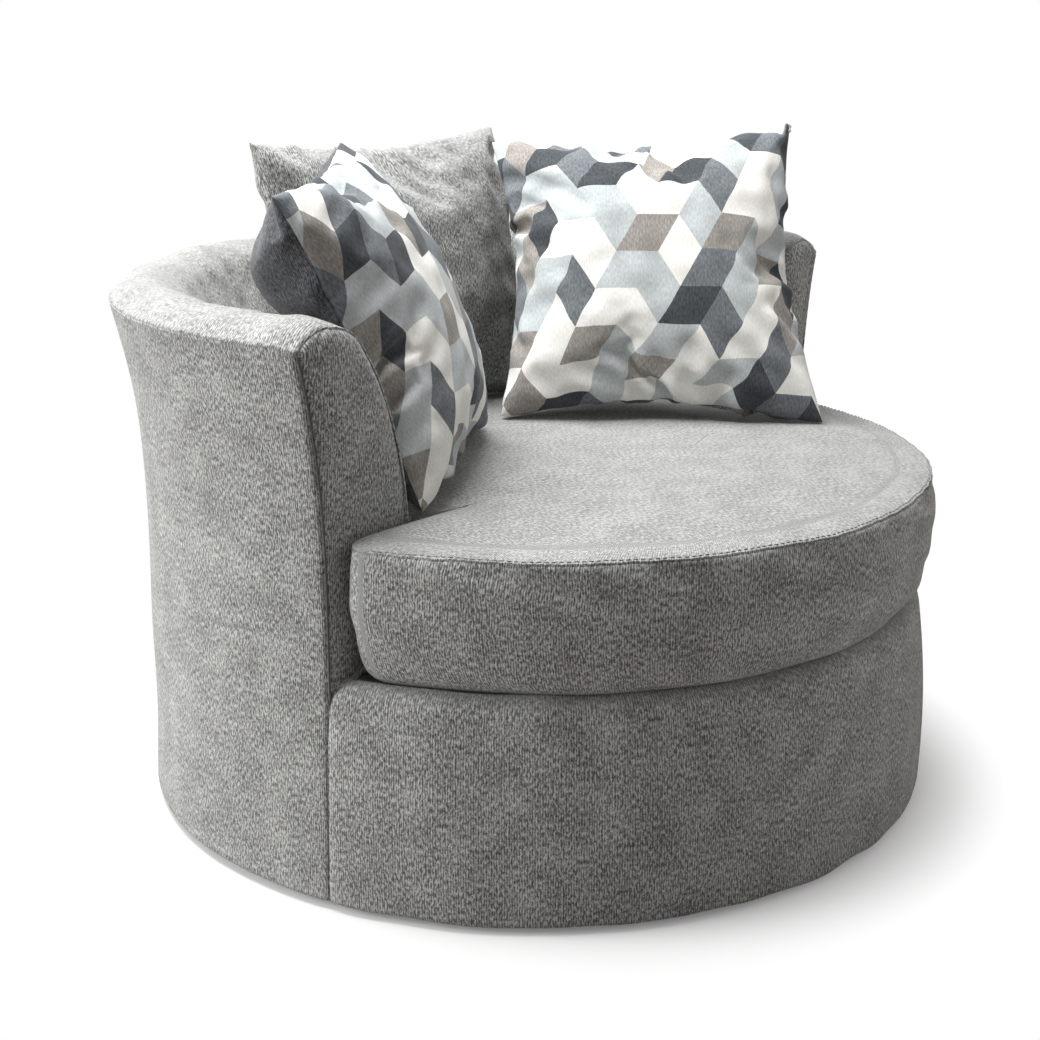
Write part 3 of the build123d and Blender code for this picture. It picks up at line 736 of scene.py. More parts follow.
@dataclass
class BarrelWall:
    """Covers of the wall, the arm fronts and the apron."""

    sizes: BarrelSizes = field(default_factory=BarrelSizes)
    crease: SlackCrease = SlackCrease()
    columns: int = 360
    outside_rows: int = 210
    outside_columns: int = 224
    inside_rows: int = 120
    apron_rows: int = 84
    arm_columns: int = 28
    cloth: float = 2.5 * MM
    rim_drop: float = 9.0 * MM
    rim_drop_start: float = 0.680
    rim_drop_span: float = 0.086
    rim_drop_reach: float = 0.045
    seam_turn: float = 2.6 * MM
    seam_turn_width: float = 7.0 * MM
    # Stitched tuck inside the rim seam: its distance from the seam, its width and its depth.
    tuck_place: float = 12.0 * MM
    tuck_width: float = 3.5 * MM
    tuck_depth: float = 1.6 * MM
    # Puff of an arm front, and how much more of it there is from the cushion's height upwards.
    arm_swell: float = 5.0 * MM
    arm_head_swell: float = 10.0 * MM
    arm_head: float = 0.52
    arm_head_span: float = 0.10
    # Pulled line down an arm front, at a share of its width from the inner edge.
    groove_depth: float = 3.5 * MM
    groove_share: float = 0.80
    groove_width: float = 0.055
    welt_radius: float = 1.7 * MM
    # Radius of the dark cord that paints the shade in each side seam.
    shade_cord_radius: float = 1.5 * MM
    tuck_roll_radius: float = 4.2 * MM
    outside_uneven: Unevenness = Unevenness(1.1 * MM, 0.30, 5)
    inside_uneven: Unevenness = Unevenness(2.2 * MM, 0.16, 9)
    inside_ripple: Unevenness = Unevenness(0.8 * MM, 0.05, 10)
    apron_pulls: Unevenness = Unevenness(1.0 * MM, 0.12, 21)
    arm_uneven: Unevenness = Unevenness(1.0 * MM, 0.10, 31)

    def build(self) -> None:
        """Make every cover of the turning chair."""
        self.outside()
        self.inside()
        for side, name in ((-1.0, "left"), (1.0, "right")):
            self.arm_front(side, name)
        self.apron()

    def lift(self, points: np.ndarray, amount: np.ndarray, profile: np.ndarray) -> np.ndarray:
        """Move a turned sheet along its own normal.

        Args:
            points: n by columns by 3.
            amount: metres, n by columns, positive towards the left of the profile's run.
            profile: the sheet's profile.

        Returns:
            Moved points.
        """
        slope = unit(np.gradient(profile, axis=0))
        angle = np.arctan2(points[..., 1], points[..., 0])
        out = slope[:, 1][:, None] * amount
        up = -slope[:, 0][:, None] * amount
        moved = points.copy()
        moved[..., 0] += out * np.cos(angle)
        moved[..., 1] += out * np.sin(angle)
        moved[..., 2] += up
        return moved

    def outside(self) -> None:
        """Outside cover: pulled over board, so only faintly uneven, with one slack crease low on the left."""
        profile = self.sizes.outside(self.outside_rows)
        points, weave = turned_sheet(profile, -self.sizes.arm_front, True, self.outside_columns)
        uneven = self.outside_uneven.over(weave[..., 0], weave[..., 1])
        points = self.lift(points, uneven + self.crease.over(points) + self.seam_roll(points), profile)
        points = self.rim_end(points)
        self.sheet("outside_cover_cloth", points, weave, ("outside_cover",))

    def seam_roll(self, points: np.ndarray) -> np.ndarray:
        """How far the cloth turns in at the seams on the arm fronts' plane: a narrow bell over the distance.

        Args:
            points: n by columns by 3.

        Returns:
            Metres along the sheet's normal, n by columns.
        """
        at_side = points[..., 0] ** 2 > 0.3 * self.sizes.hem[0] ** 2
        return -self.seam_turn * bell(points[..., 1], -self.sizes.arm_front, self.seam_turn_width) * at_side

    def rim_end(self, points: np.ndarray) -> np.ndarray:
        """Round the rim down to the arm fronts: the drop grows with the square of the nearness to them.

        Args:
            points: n by columns by 3.

        Returns:
            Moved points.
        """
        near = np.clip(1.0 - np.abs(points[..., 1] + self.sizes.arm_front) / self.rim_drop_reach, 0.0, 1.0)
        high = fade(points[..., 2], self.rim_drop_start, self.rim_drop_span)
        rounded = points.copy()
        rounded[..., 2] -= self.rim_drop * high * near**2
        return rounded

    def inside(self) -> None:
        """Rim and inside cover: padded, with a stitched tuck just inside the outer edge of the rim."""
        profile = self.sizes.inside(self.inside_rows)
        points, weave = turned_sheet(profile, -self.sizes.arm_front, True, self.columns)
        along = run_length(profile)[:, None]
        uneven = self.inside_uneven.over(weave[..., 0], weave[..., 1])
        uneven = uneven + self.inside_ripple.over(weave[..., 0], weave[..., 1])
        tuck = -self.tuck_depth * bell(along, self.tuck_place, self.tuck_width)
        points = self.lift(points, uneven * fade(along, 0.0, 0.03) + tuck, profile)
        points = self.rim_end(points)
        self.sheet("inside_cover_cloth", points, weave, ("inside_cover", "wall_padding"), padded=0.9)

    def apron(self) -> None:
        """Apron cover, with faint upright pulls from the hem and a rolled top edge."""
        profile = self.sizes.apron(self.apron_rows)
        points, weave = turned_sheet(profile, -self.sizes.arm_front, False, self.columns)
        pulls = self.apron_pulls.over(weave[..., 0], 0.25 * weave[..., 1])
        points = self.lift(points, pulls + self.seam_roll(points), profile)
        self.sheet("apron_cover_cloth", points, weave, ("apron_cover",))

    def sheet(self, name: str, points: np.ndarray, weave: np.ndarray, replaced: tuple[str, ...],
              padded: Optional[float] = None) -> None:
        """Put a turned sheet into the scene with its cloth thickness.

        Args:
            name: name of the piece.
            points: n by columns by 3.
            weave: cloth coordinates, n by columns by 2.
            replaced: nodes that the sheet stands for.
            padded: how full the padding is, where the sheet covers padding; not used.
        """
        rows, columns = points.shape[:2]
        piece = Piece(name, Body.CHAIR, "chenille", CHENILLE, replaced, padded, thickness=self.cloth)
        piece.make(points.reshape(-1, 3), grid_faces(rows, columns)[:, ::-1], weave.reshape(-1, 2))

    def arm_outline(self) -> tuple[np.ndarray, np.ndarray]:
        """Inner and outer edge of an arm front, from deck to crown: the wall's profiles on its plane.

        Returns:
            Two edges, each 90 points of x and z.
        """
        inside = self.sizes.inside(160)[::-1]
        top = int(np.argmax(inside[:, 1]))
        inner = inside[:top + 1]
        outer = np.concatenate((self.sizes.outside(160), inside[top:][::-1]))
        edges = []
        for path, draw in ((inner, 0.0), (outer, 0.003)):
            kept = even_path(path[path[:, 1] >= self.sizes.deck_top - 0.012], 90)
            kept[:, 1] -= self.rim_drop * fade(kept[:, 1], self.rim_drop_start, self.rim_drop_span)
            kept[:, 0] -= draw * fade(-kept[:, 1], -self.sizes.crown[1], 0.05)
            kept[:, 0] = self.across(kept[:, 0])
            edges.append(kept)
        return edges[0], edges[1]

    def across(self, radius: np.ndarray) -> np.ndarray:
        """Distance from the middle at which a circle meets the arm fronts' plane."""
        return np.sqrt(radius**2 - self.sizes.arm_front**2)

    def on_plane(self, flat: np.ndarray, side: float, depth: Any) -> np.ndarray:
        """Put points of x and z on the arm fronts' plane.

        Args:
            flat: x and z along the last axis.
            side: -1 for the arm at -X, 1 for the arm at +X.
            depth: metres in front of the plane.

        Returns:
            Points along the last axis.
        """
        y = np.broadcast_to(-self.sizes.arm_front - depth, flat.shape[:-1])
        return np.stack((side * flat[..., 0], y, flat[..., 1]), axis=-1)

    def arm_front(self, side: float, name: str) -> None:
        """Arm front panel: a straight blend between its two edges, puffed a little in the middle.

        Args:
            side: -1 for the arm at -X, 1 for the arm at +X.
            name: word for the piece's name.
        """
        inner, outer = self.arm_outline()
        share = np.linspace(0.0, 1.0, self.arm_columns)[None, :, None]
        flat = inner[:, None, :] * (1.0 - share) + outer[:, None, :] * share
        s = np.broadcast_to(share[..., 0], flat.shape[:2])
        t = np.linspace(0.0, 1.0, flat.shape[0])[:, None]
        top_edge = np.sin(np.clip((1.0 - t) * 7.0, 0.0, 1.0) * np.pi / 2)
        round_edge = np.clip(4.0 * s * (1.0 - s), 0.0, 1.0) ** 0.5 * top_edge
        swell = self.arm_swell + self.arm_head_swell * fade(flat[..., 1], self.arm_head, self.arm_head_span)
        line = bell(s, self.groove_share, self.groove_width)
        groove = self.groove_depth * line * np.clip((t - 0.45) * 3.0, 0.0, 1.0)
        uneven = self.arm_uneven.over(flat[..., 0], flat[..., 1])
        depth = (swell - groove + uneven) * round_edge
        points = self.on_plane(flat, side, depth - self.cloth)
        faces = grid_faces(*flat.shape[:2])
        faces = faces if side > 0 else faces[:, ::-1]
        piece = Piece(f"{name}_arm_front_panel", Body.CHAIR, "chenille", CHENILLE,
                      (f"{name}_arm_front",), 0.85, thickness=self.cloth)
        piece.make(points.reshape(-1, 3), faces, flat.reshape(-1, 2))
        self.arm_seams(side, name, inner, outer)

    def arm_seams(self, side: float, name: str, inner: np.ndarray, outer: np.ndarray) -> None:
        """Welt along the panel's inner edge, a dark cord of painted shade down the side seam to the hem, and
        tuck under the cushion.

        Args:
            side: -1 for the arm at -X, 1 for the arm at +X.
            name: word for the pieces' names.
            inner: inner edge of the arm front, x and z.
            outer: outer edge of the arm front, x and z.
        """
        welt = SeamWelt(f"{name}_arm_front_welt", Body.CHAIR, self.welt_radius)
        welt.build(self.on_plane(inner, side, 0.5 * MM))
        low = self.sizes.apron(60)
        low = low[(low[:, 1] > 0.012) & (low[:, 1] < 0.28)]
        low = np.stack((self.across(low[:, 0]), low[:, 1]), axis=-1)
        high = outer[(outer[:, 1] > 0.30) & (np.arange(len(outer)) < 0.86 * len(outer))]
        valley = np.concatenate((low - np.array((2.2 * MM, 0.0)), high - np.array((0.2 * MM, 0.0))))
        # Painted shade: a dark cord laid in the side seam's valley, down to the hem.
        shade_cord = SeamWelt(f"{name}_side_seam_shade", Body.CHAIR, self.shade_cord_radius, finish=SEAM_SHADE_CORD)
        shade_cord.build(self.on_plane(valley, side, 0.0))
        tuck = np.array(ARM_TUCK) * np.array((side, 1.0, 1.0))
        SeamWelt(f"{name}_arm_front_tuck", Body.CHAIR, self.tuck_roll_radius).build(tuck)


@dataclass
class SeamWelt:
    """Turned seam edge: a thin soft roll of the same cloth along a sewn edge, or, in a dark finish, a cord of
    painted shade in a seam's valley.
    """

    name: str
    body: Body
    radius: float
    finish: Any = CHENILLE
    sides: int = 8

    def build(self, path: np.ndarray) -> None:
        """Carry a small circle along the path, swelling and thinning a little with a sine of its length.

        Args:
            path: middle line of the welt, n by 3.
        """
        count = max(40, int(run_length(path)[-1] / 0.006))
        line = even_path(path, count)
        ahead = unit(np.gradient(line, axis=0))
        across = unit(np.cross(ahead, np.array([0.31, 0.23, 0.92])))
        lift = np.cross(across, ahead)
        angle = np.linspace(0.0, 2.0 * np.pi, self.sides, endpoint=False)
        ring = (np.cos(angle)[None, :, None] * across[:, None, :]
                + np.sin(angle)[None, :, None] * lift[:, None, :])
        length = run_length(line)[:, None]
        fat = self.radius * (1.0 + 0.12 * np.sin(length * 420.0))[..., None]
        points = line[:, None, :] + ring * fat
        weave = np.stack(np.broadcast_arrays(angle * self.radius, length), axis=-1)
        piece = Piece(self.name, self.body, "chenille", self.finish)
        faces = grid_faces(count, self.sides, wrap=True)
        made = piece.make(points.reshape(-1, 3), faces, weave.reshape(-1, 2))
        last = (count - 1) * self.sides
        close_ends(made, [list(range(self.sides))[::-1], list(range(last, last + self.sides))])


def close_ends(made: bpy.types.Object, caps: list[list[int]]) -> None:
    """Close the open ends of a tube with one face each and point all faces outwards.

    Args:
        made: the tube.
        caps: vertex numbers round each end.
    """
    work = bmesh.new()
    work.from_mesh(made.data)
    work.verts.ensure_lookup_table()
    for ring in caps:
        work.faces.new([work.verts[i] for i in ring])
    bmesh.ops.recalc_face_normals(work, faces=work.faces[:])
    work.to_mesh(made.data)
    work.free()


@dataclass
class Stitching:
    """Row of sewn stitches: short thread loops lying along a seam."""

    name: str
    body: Body
    pitch: float = 9.0 * MM
    length: float = 6.0 * MM
    width: float = 1.5 * MM

    def build(self, path: np.ndarray, normal: np.ndarray) -> None:
        """Lay a low rounded bar on each stitch place.

        Args:
            path: the seam line, n by 3.
            normal: outward direction at each point, n by 3.
        """
        length = run_length(path)
        where = np.arange(self.pitch, length[-1] - self.pitch, self.pitch)
        middle, out, ahead = (np.stack([np.interp(where, length, values[:, i]) for i in range(3)], axis=-1)
                              for values in (path, normal, np.gradient(path, axis=0)))
        out, ahead = unit(out), unit(ahead)
        across = np.cross(out, ahead)
        station = np.array([-0.5, -0.35, 0.35, 0.5]) * self.length
        fat = np.array([0.35, 1.0, 1.0, 0.35]) * self.width / 2.0
        sink = np.array([-1.0, 0.0, 0.0, -1.0]) * self.width * 0.5
        angle = np.linspace(0.0, 2.0 * np.pi, 6, endpoint=False)
        ring = (np.cos(angle)[None, :, None] * across[:, None, :]
                + np.sin(angle)[None, :, None] * out[:, None, :])
        points = (middle[:, None, None, :] + station[None, :, None, None] * ahead[:, None, None, :]
                  + sink[None, :, None, None] * out[:, None, None, :]
                  + fat[None, :, None, None] * ring[:, None, :, :])
        one = grid_faces(len(station), len(angle), wrap=True)
        first = len(station) * len(angle) * np.arange(len(where))
        faces = (one[None] + first[:, None, None]).reshape(-1, 4)
        flat = points.reshape(-1, 3)
        Piece(self.name, self.body, "chenille", SEWING).make(flat, faces, flat[:, :2])


@dataclass
class SeatCushion:
    """Thick loose seat cushion, round in front with wings before the arms, narrower between them."""

    radius: float = 0.600
    narrow: float = 0.945
    back_radius: float = 0.412
    wing_back: float = -0.131
    middle_y: float = -0.25
    corner: float = 0.032
    ease: float = 0.020
    bottom: float = 0.3085
    seam: float = 0.4850
    shift: tuple[float, float] = (-0.006, 0.003)
    crown: float = 0.015
    crown_depth: float = 0.075
    shoulder: float = 0.046
    shoulder_rise: float = 7.0 * MM
    foot_draw: float = 28.0 * MM
    foot_turn: float = 14.0 * MM
    seam_draw: float = 6.0 * MM
    side_uneven: Unevenness = Unevenness(2.2 * MM, 0.20, 41)
    top_uneven: Unevenness = Unevenness(1.6 * MM, 0.18, 47)
    # Puckers along the seam: depth, pitch, how far they reach up and down, and the drift of their phase.
    pucker_depth: float = 1.0 * MM
    pucker_pitch: float = 43.0 * MM
    pucker_reach: float = 16.0 * MM
    pucker_drift: Unevenness = Unevenness(2.0, 0.25, 43)
    side_rows: int = 30
    columns: int = 420

    def outline(self) -> np.ndarray:
        """Closed plan outline: front circle, wing backs on a plane, back circle, with rounded corners.

        Each wing ends in a true arc that touches the front circle and the wing's back plane. The rest is
        eased by a running mean over the outline's own length, and the front is drawn in and shifted.

        Returns:
            Places in plan, columns by 2.
        """
        neck_x = math.sqrt(self.back_radius**2 - self.wing_back**2)
        neck_angle = math.atan2(self.wing_back, neck_x)
        bend_y = self.wing_back - self.corner
        bend_x = math.sqrt((self.radius - self.corner) ** 2 - bend_y**2)
        touch = math.atan2(bend_y, bend_x)
        front = np.linspace(-np.pi - touch, touch, 300)
        turn = np.linspace(touch, np.pi / 2.0, 40)[1:]
        back = np.linspace(neck_angle, np.pi - neck_angle, 260)
        wing = np.stack((bend_x + self.corner * np.cos(turn), bend_y + self.corner * np.sin(turn)), axis=-1)
        path = np.concatenate((
            np.stack((self.radius * np.cos(front), self.radius * np.sin(front)), axis=-1), wing,
            np.stack((self.back_radius * np.cos(back), self.back_radius * np.sin(back)), axis=-1),
            (wing * np.array((-1.0, 1.0)))[::-1]))
        path[:, 0] *= np.where(path[:, 1] < self.wing_back + 0.001, self.narrow, 1.0)
        closed = closed_loop(path)
        fine = even_path(closed, 4001)[:-1]
        step = run_length(closed)[-1] / len(fine)
        width = max(3, int(self.ease / step) | 1)
        kernel = np.hanning(width + 2)[1:-1]
        kernel /= kernel.sum()
        padded = np.concatenate((fine[-width:], fine, fine[:width]))
        smooth = np.stack([np.convolve(padded[:, i], kernel, "same")[width:-width] for i in range(2)],
                          axis=-1)
        loop = even_path(closed_loop(smooth), self.columns + 1)[:-1]
        ahead = fade(-loop[:, 1:], -self.wing_back - 0.10, 0.15)
        return loop + ahead * np.array(self.shift)

    def centre(self) -> np.ndarray:
        """Place in plan that the rings of the surface close on."""
        return np.array([0.0, self.middle_y])

    def profile(self) -> np.ndarray:
        """Inset from the outline and height, from the bottom edge up the side and over the seam to the top.

        The side draws in at the foot with a power and a short decay, and at the seam with a square. The
        shoulder above the seam rises with a sine while its inset grows with the power 1.7.

        Returns:
            Inset and height, n by 2.
        """
        side = np.linspace(0.0, 1.0, self.side_rows)
        height = self.bottom + (self.seam - self.bottom) * side
        foot = self.foot_draw * (1.0 - side) ** 3.4 + self.foot_turn * np.exp(-side / 0.05)
        draw = self.seam_draw * fade(side, 0.6, 0.4) ** 2
        wall = np.stack((foot + draw, height), axis=-1)
        seam_in = wall[-1, 0]
        groove = np.array([(seam_in + 0.0024, self.seam + 0.0012)])
        turn = np.linspace(0.10, 1.0, 16)
        shoulder = np.stack((seam_in + self.shoulder * turn**1.7,
                             self.seam + 0.002 + self.shoulder_rise * np.sin(turn * np.pi / 2)), axis=-1)
        return np.concatenate((wall, groove, shoulder))

    def rise(self, x: np.ndarray, y: np.ndarray) -> np.ndarray:
        """Rise of the crowned top above its edge: crown x (1 - exp(-depth / crown_depth)).

        The depth is a smooth distance from the edge: the cube root of (pi / 2) over the sum, along the edge,
        of length / distance^4. It equals the distance from a straight edge and has no crease at a corner.

        Args:
            x: places across the chair in metres.
            y: places along the chair in metres.

        Returns:
            Heights above the top's edge in metres.
        """
        loop = self.outline()
        edge = loop + self.profile()[-1, 0] * unit(self.centre() - loop)
        after = np.roll(edge, -1, axis=0)
        middle = 0.5 * (edge + after)
        length = np.linalg.norm(after - edge, axis=1)
        square = (x[..., None] - middle[:, 0]) ** 2 + (y[..., None] - middle[:, 1]) ** 2
        depth = (0.5 * np.pi / (length / np.maximum(square, 1e-8) ** 2).sum(axis=-1)) ** (1.0 / 3.0)
        return self.crown * (1.0 - np.exp(-depth / self.crown_depth))

    def surface(self, loop: np.ndarray) -> tuple[np.ndarray, np.ndarray, slice]:
        """Rings of points: closed bottom, side and shoulder by the profile, and the crowned top.

        Args:
            loop: the plan outline.

        Returns:
            Points, n by columns by 3, cloth coordinates, n by columns by 2, and the rows of the side.
        """
        centre = self.centre()
        inward = unit(centre - loop)
        edge = self.profile()
        ring = loop[None, :, :] + edge[:, 0][:, None, None] * inward[None, :, :]
        level = np.broadcast_to(edge[:, 1][:, None, None], ring.shape[:2] + (1,))
        ring = np.concatenate((ring, level), axis=-1)
        shares = np.linspace(1.0, 0.0, 34)[1:, None, None]
        top = centre + (ring[-1][None, :, :2] - centre) * shares
        crown = ring[-1, 0, 2] + self.rise(top[..., 0], top[..., 1])
        top = np.concatenate((top, crown[..., None]), axis=-1)
        shares = np.linspace(0.0, 1.0, 12)[:-1, None, None]
        base = centre + (ring[0][None, :, :2] - centre) * shares
        base = np.concatenate((base, np.full(base.shape[:2] + (1,), self.bottom)), axis=-1)
        around = run_length(closed_loop(loop))[:-1]
        on_side = np.stack(np.broadcast_arrays(around, run_length(edge)[:, None]), axis=-1)
        weave = np.concatenate((base[..., :2], on_side, top[..., :2]))
        return np.concatenate((base, ring, top)), weave, slice(len(base), len(base) + len(edge))

    def build(self) -> None:
        """Make the cushion, softly uneven and puckered along its seam, and its row of stitches."""
        loop = self.outline()
        inward = unit(self.centre() - loop)
        points, weave, side = self.surface(loop)
        around = np.broadcast_to(run_length(closed_loop(loop))[:-1], points.shape[:2])
        x, y, level = points[..., 0], points[..., 1], points[..., 2]
        soft = self.side_uneven.over(x + 3.0 * level, y - 2.0 * level)
        soft = soft * np.where(y < self.wing_back, 1.0, 0.15)
        phase = self.pucker_drift.over(around, level * 0.0)
        wave = np.sin(around * 2.0 * np.pi / self.pucker_pitch + phase)
        pucker = self.pucker_depth * wave * bell(level, self.seam, self.pucker_reach)
        outward = np.concatenate((-inward, np.zeros((self.columns, 1))), axis=-1)
        points[side] += (soft + pucker)[side, :, None] * outward[None, :, :]
        top = points[side.stop:]
        top[..., 2] += self.top_uneven.over(top[..., 0], top[..., 1])
        piece = Piece("seat_cushion_body", Body.CUSHION, "chenille", CHENILLE,
                      ("cushion_top_panel", "cushion_boxing", "cushion_foam"), 0.9)
        faces = grid_faces(len(points), self.columns, wrap=True)
        merge_poles(piece.make(points.reshape(-1, 3), faces, weave.reshape(-1, 2)))
        seam_line = points[side.start + self.side_rows + 4]
        normal = np.concatenate((-inward * 0.75, np.full((self.columns, 1), 0.66)), axis=-1)
        front = np.flatnonzero(seam_line[:, 1] < self.wing_back - 0.02)
        stitches = Stitching("seat_cushion_stitches", Body.CUSHION)
        stitches.build(seam_line[front] + 0.0006 * normal[front], normal[front])

    def height(self, x: np.ndarray, y: np.ndarray) -> np.ndarray:
        """Height of the cushion's top over the plan: the crowned face, falling with a square past its edge.

        Args:
            x: places across the chair in metres.
            y: places along the chair in metres.

        Returns:
            Heights in metres.
        """
        centre = self.centre()
        loop = self.outline() - centre
        angle = np.arctan2(loop[:, 1], loop[:, 0])
        order = np.argsort(angle)
        inset, level = self.profile()[-1]
        reach = np.linalg.norm(loop, axis=1) - inset
        own = np.hypot(x - centre[0], y - centre[1])
        towards = np.arctan2(y - centre[1], x - centre[0])
        edge = np.interp(towards, angle[order], reach[order], period=2.0 * np.pi)
        rise = np.where(own < edge, self.rise(x, y), 0.0)
        return level + rise - 0.010 * fade(own, edge, self.shoulder) ** 2


def merge_poles(made: bpy.types.Object) -> None:
    """Join the vertices that meet at a pole and point all faces outwards.

    Args:
        made: object whose mesh has poles.
    """
    work = bmesh.new()
    work.from_mesh(made.data)
    bmesh.ops.remove_doubles(work, verts=work.verts[:], dist=1e-6)
    bmesh.ops.recalc_face_normals(work, faces=work.faces[:])
    work.to_mesh(made.data)
    work.free()
    made.data.polygons.foreach_set("use_smooth", np.ones(len(made.data.polygons), dtype=bool))


# Settings of the cloth simulation that blows a pillow up: a light cloth that hardly stretches or creases.
STUFFING = {"quality": 6, "mass": 0.25, "tension_stiffness": 22.0, "compression_stiffness": 22.0,
            "shear_stiffness": 8.0, "bending_stiffness": 0.9, "use_pressure": True}


@dataclass
class Pillow:
    """Loose stuffed pillow: two square panels sewn at the edge and blown up by its fill."""

    name: str
    body: Body
    size: tuple[float, float, float]
    place: tuple[float, float]
    turn: float
    lean: float
    node: str
    front: Any
    back: Any
    slot: str
    pressure: float = 6.0
    frames: int = 22
    cells: int = 56
    bow: float = 0.045
    sag: float = 0.05
    push: float = 0.0
    corners: dict[tuple[int, int], tuple[float, float, float]] = field(default_factory=dict)
    seed: int = 1
    sink: float = 0.010
    fullness: float = 0.82
    swell: tuple[float, float, float] = (0.0, 0.0, 0.0)
    swell_width: float = 0.35
    cloth_shift: tuple[float, float] = (0.0, 0.0)
    dome_share: float = 0.30
    wobble: float = 4.0 * MM
    wobble_size: float = 0.11
    reach_share: float = 0.6
    rest_gap: float = 1.2 * MM

    def grid(self) -> tuple[np.ndarray, np.ndarray, np.ndarray, np.ndarray]:
        """The panels' square -1..1.

        Returns:
            One line of it, both coordinates of its points, and which points are off the seams.
        """
        line = np.linspace(-1.0, 1.0, self.cells + 1)
        a, b = np.meshgrid(line, line, indexing="xy")
        return line, a, b, (np.abs(a) < 0.999) & (np.abs(b) < 0.999)

    def sheet(self) -> tuple[np.ndarray, np.ndarray, np.ndarray]:
        """Flat pair of panels: one grid for the front, its inner points again for the back.

        Each panel starts as a shallow dome, height = h (1 - a^2)^p (1 - b^2)^p over the square -1..1.

        Returns:
            Local points, faces and cloth coordinates.
        """
        line, a, b, inner = self.grid()
        count = len(line)
        width, height, thick = self.size
        dome = self.dome_share * thick * ((1.0 - a**2) * (1.0 - b**2)) ** 0.55
        wobble, other = (Unevenness(self.wobble, self.wobble_size, seed).over(a * width, b * height)
                         for seed in (self.seed, self.seed + 50))
        x = a * width / 2.0 * (1.0 + self.bow * (1.0 - b**2) ** 0.7)
        y = b * height / 2.0 * (1.0 + self.bow * (1.0 - a**2) ** 0.7)
        front = np.stack((x, y, dome + wobble * inner), axis=-1).reshape(-1, 3)
        flat_inner = inner.ravel()
        back_number = np.arange(count * count)
        back_number[flat_inner] = count * count + np.arange(int(flat_inner.sum()))
        back = np.stack((x, y, -dome + other * inner), axis=-1).reshape(-1, 3)[flat_inner]
        faces = grid_faces(count, count)
        under = back_number[faces][:, ::-1]
        points = np.concatenate((front, back))
        weave = points[:, :2] + np.array(self.cloth_shift)
        return points, np.concatenate((faces, under)), weave

    def inflate(self, points: np.ndarray, faces: np.ndarray) -> np.ndarray:
        """Blow the pair of panels up with Blender's cloth, and cap how far a point may go.

        Args:
            points: local start points.
            faces: quads of both panels.

        Returns:
            Local points of the stuffed pillow.
        """
        mesh = bpy.data.meshes.new("stuffing")
        mesh.from_pydata(points.tolist(), [], faces.tolist())
        made = bpy.data.objects.new("stuffing", mesh)
        scene = bpy.context.scene
        scene.collection.objects.link(made)
        cloth = made.modifiers.new("stuffing", "CLOTH")
        for name, value in STUFFING.items():
            setattr(cloth.settings, name, value)
        cloth.settings.uniform_pressure_force = self.pressure
        cloth.settings.effector_weights.gravity = 0.0
        cloth.collision_settings.use_collision = False
        cloth.point_cache.frame_start = 1
        cloth.point_cache.frame_end = self.frames
        for step in range(1, self.frames + 1):
            scene.frame_set(step)
        blown = made.evaluated_get(bpy.context.evaluated_depsgraph_get()).to_mesh()
        flat = np.empty(len(points) * 3)
        blown.vertices.foreach_get("co", flat)
        scene.frame_set(1)
        bpy.data.objects.remove(made)
        bpy.data.meshes.remove(mesh)
        moved = flat.reshape(-1, 3) - points
        reach = np.linalg.norm(moved, axis=1, keepdims=True)
        cap = self.reach_share * self.size[2]
        return points + moved * np.minimum(1.0, cap / np.maximum(reach, 1e-9))

    def stuffed(self) -> tuple[np.ndarray, np.ndarray, np.ndarray]:
        """Stuffed pillow in its own axes, brought to its set width, height and thickness.

        The thickness is filled out by a power below 1 of each point's share of it.

        Returns:
            Local points, faces and cloth coordinates.
        """
        points, faces, weave = self.sheet()
        shaped = self.inflate(points, faces)
        spread = shaped.max(axis=0) - shaped.min(axis=0)
        shaped = shaped - (shaped.max(axis=0) + shaped.min(axis=0)) / 2.0
        shaped = shaped * (np.array(self.size) / spread)
        half = self.size[2] / 2.0
        shaped[:, 2] = np.sign(shaped[:, 2]) * half * (np.abs(shaped[:, 2]) / half) ** self.fullness
        return self.true_edges(shaped), faces, weave

    def true_edges(self, shaped: np.ndarray) -> np.ndarray:
        """Bring the four seams to their set run: straight from corner to corner but for a slight sag.

        Each seam point's way to its set place is carried inwards with the fourth power of the distance
        from the middle, and each corner's own offset with the product of both distances. The back may swell
        by a bell round one place.

        Args:
            shaped: local points of front and back.

        Returns:
            Local points with trued seams.
        """
        line, a, b, inner = self.grid()
        count = len(line)
        a = np.concatenate((a.ravel(), a[inner]))
        b = np.concatenate((b.ravel(), b[inner]))
        front = shaped[:count * count].reshape(count, count, 3)
        moved = shaped.copy()
        for axis, (run, cross) in enumerate(((b, a), (a, b))):
            half = self.size[axis] / 2.0
            for end in (-1, 0):
                sign = 1.0 if end else -1.0
                seam = front[:, end, axis] if axis == 0 else front[end, :, axis]
                true = sign * half * (1.0 - self.sag * (1.0 - line**2))
                way = np.interp(run, line, true - seam)
                moved[:, axis] += way * np.clip(sign * cross, 0.0, 1.0) ** 4
        for (right, up), offset in self.corners.items():
            near = np.clip((1.0 + right * a) / 2.0, 0.0, 1.0) * np.clip((1.0 + up * b) / 2.0, 0.0, 1.0)
            moved += near[:, None] ** 1.3 * np.array(offset)
        across, up, amount = self.swell
        bulge = bell(a, across, self.swell_width) * bell(b, up, self.swell_width)
        bulge = bulge * (1.0 - a**6) * (1.0 - b**6)
        bulge[:count * count] = 0.0
        moved[:, 2] -= amount * bulge
        return moved

    def axes(self) -> np.ndarray:
        """The pillow's own directions, from its turn about the upright and its lean backwards.

        Returns:
            Rows that point to its right, up and out of its front.
        """
        yaw, tip = math.radians(self.turn), math.radians(self.lean)
        right = np.array([math.cos(yaw), math.sin(yaw), 0.0])
        facing = np.array([math.sin(yaw) * math.cos(tip), -math.cos(yaw) * math.cos(tip), math.sin(tip)])
        return np.stack((right, np.cross(facing, right), facing))

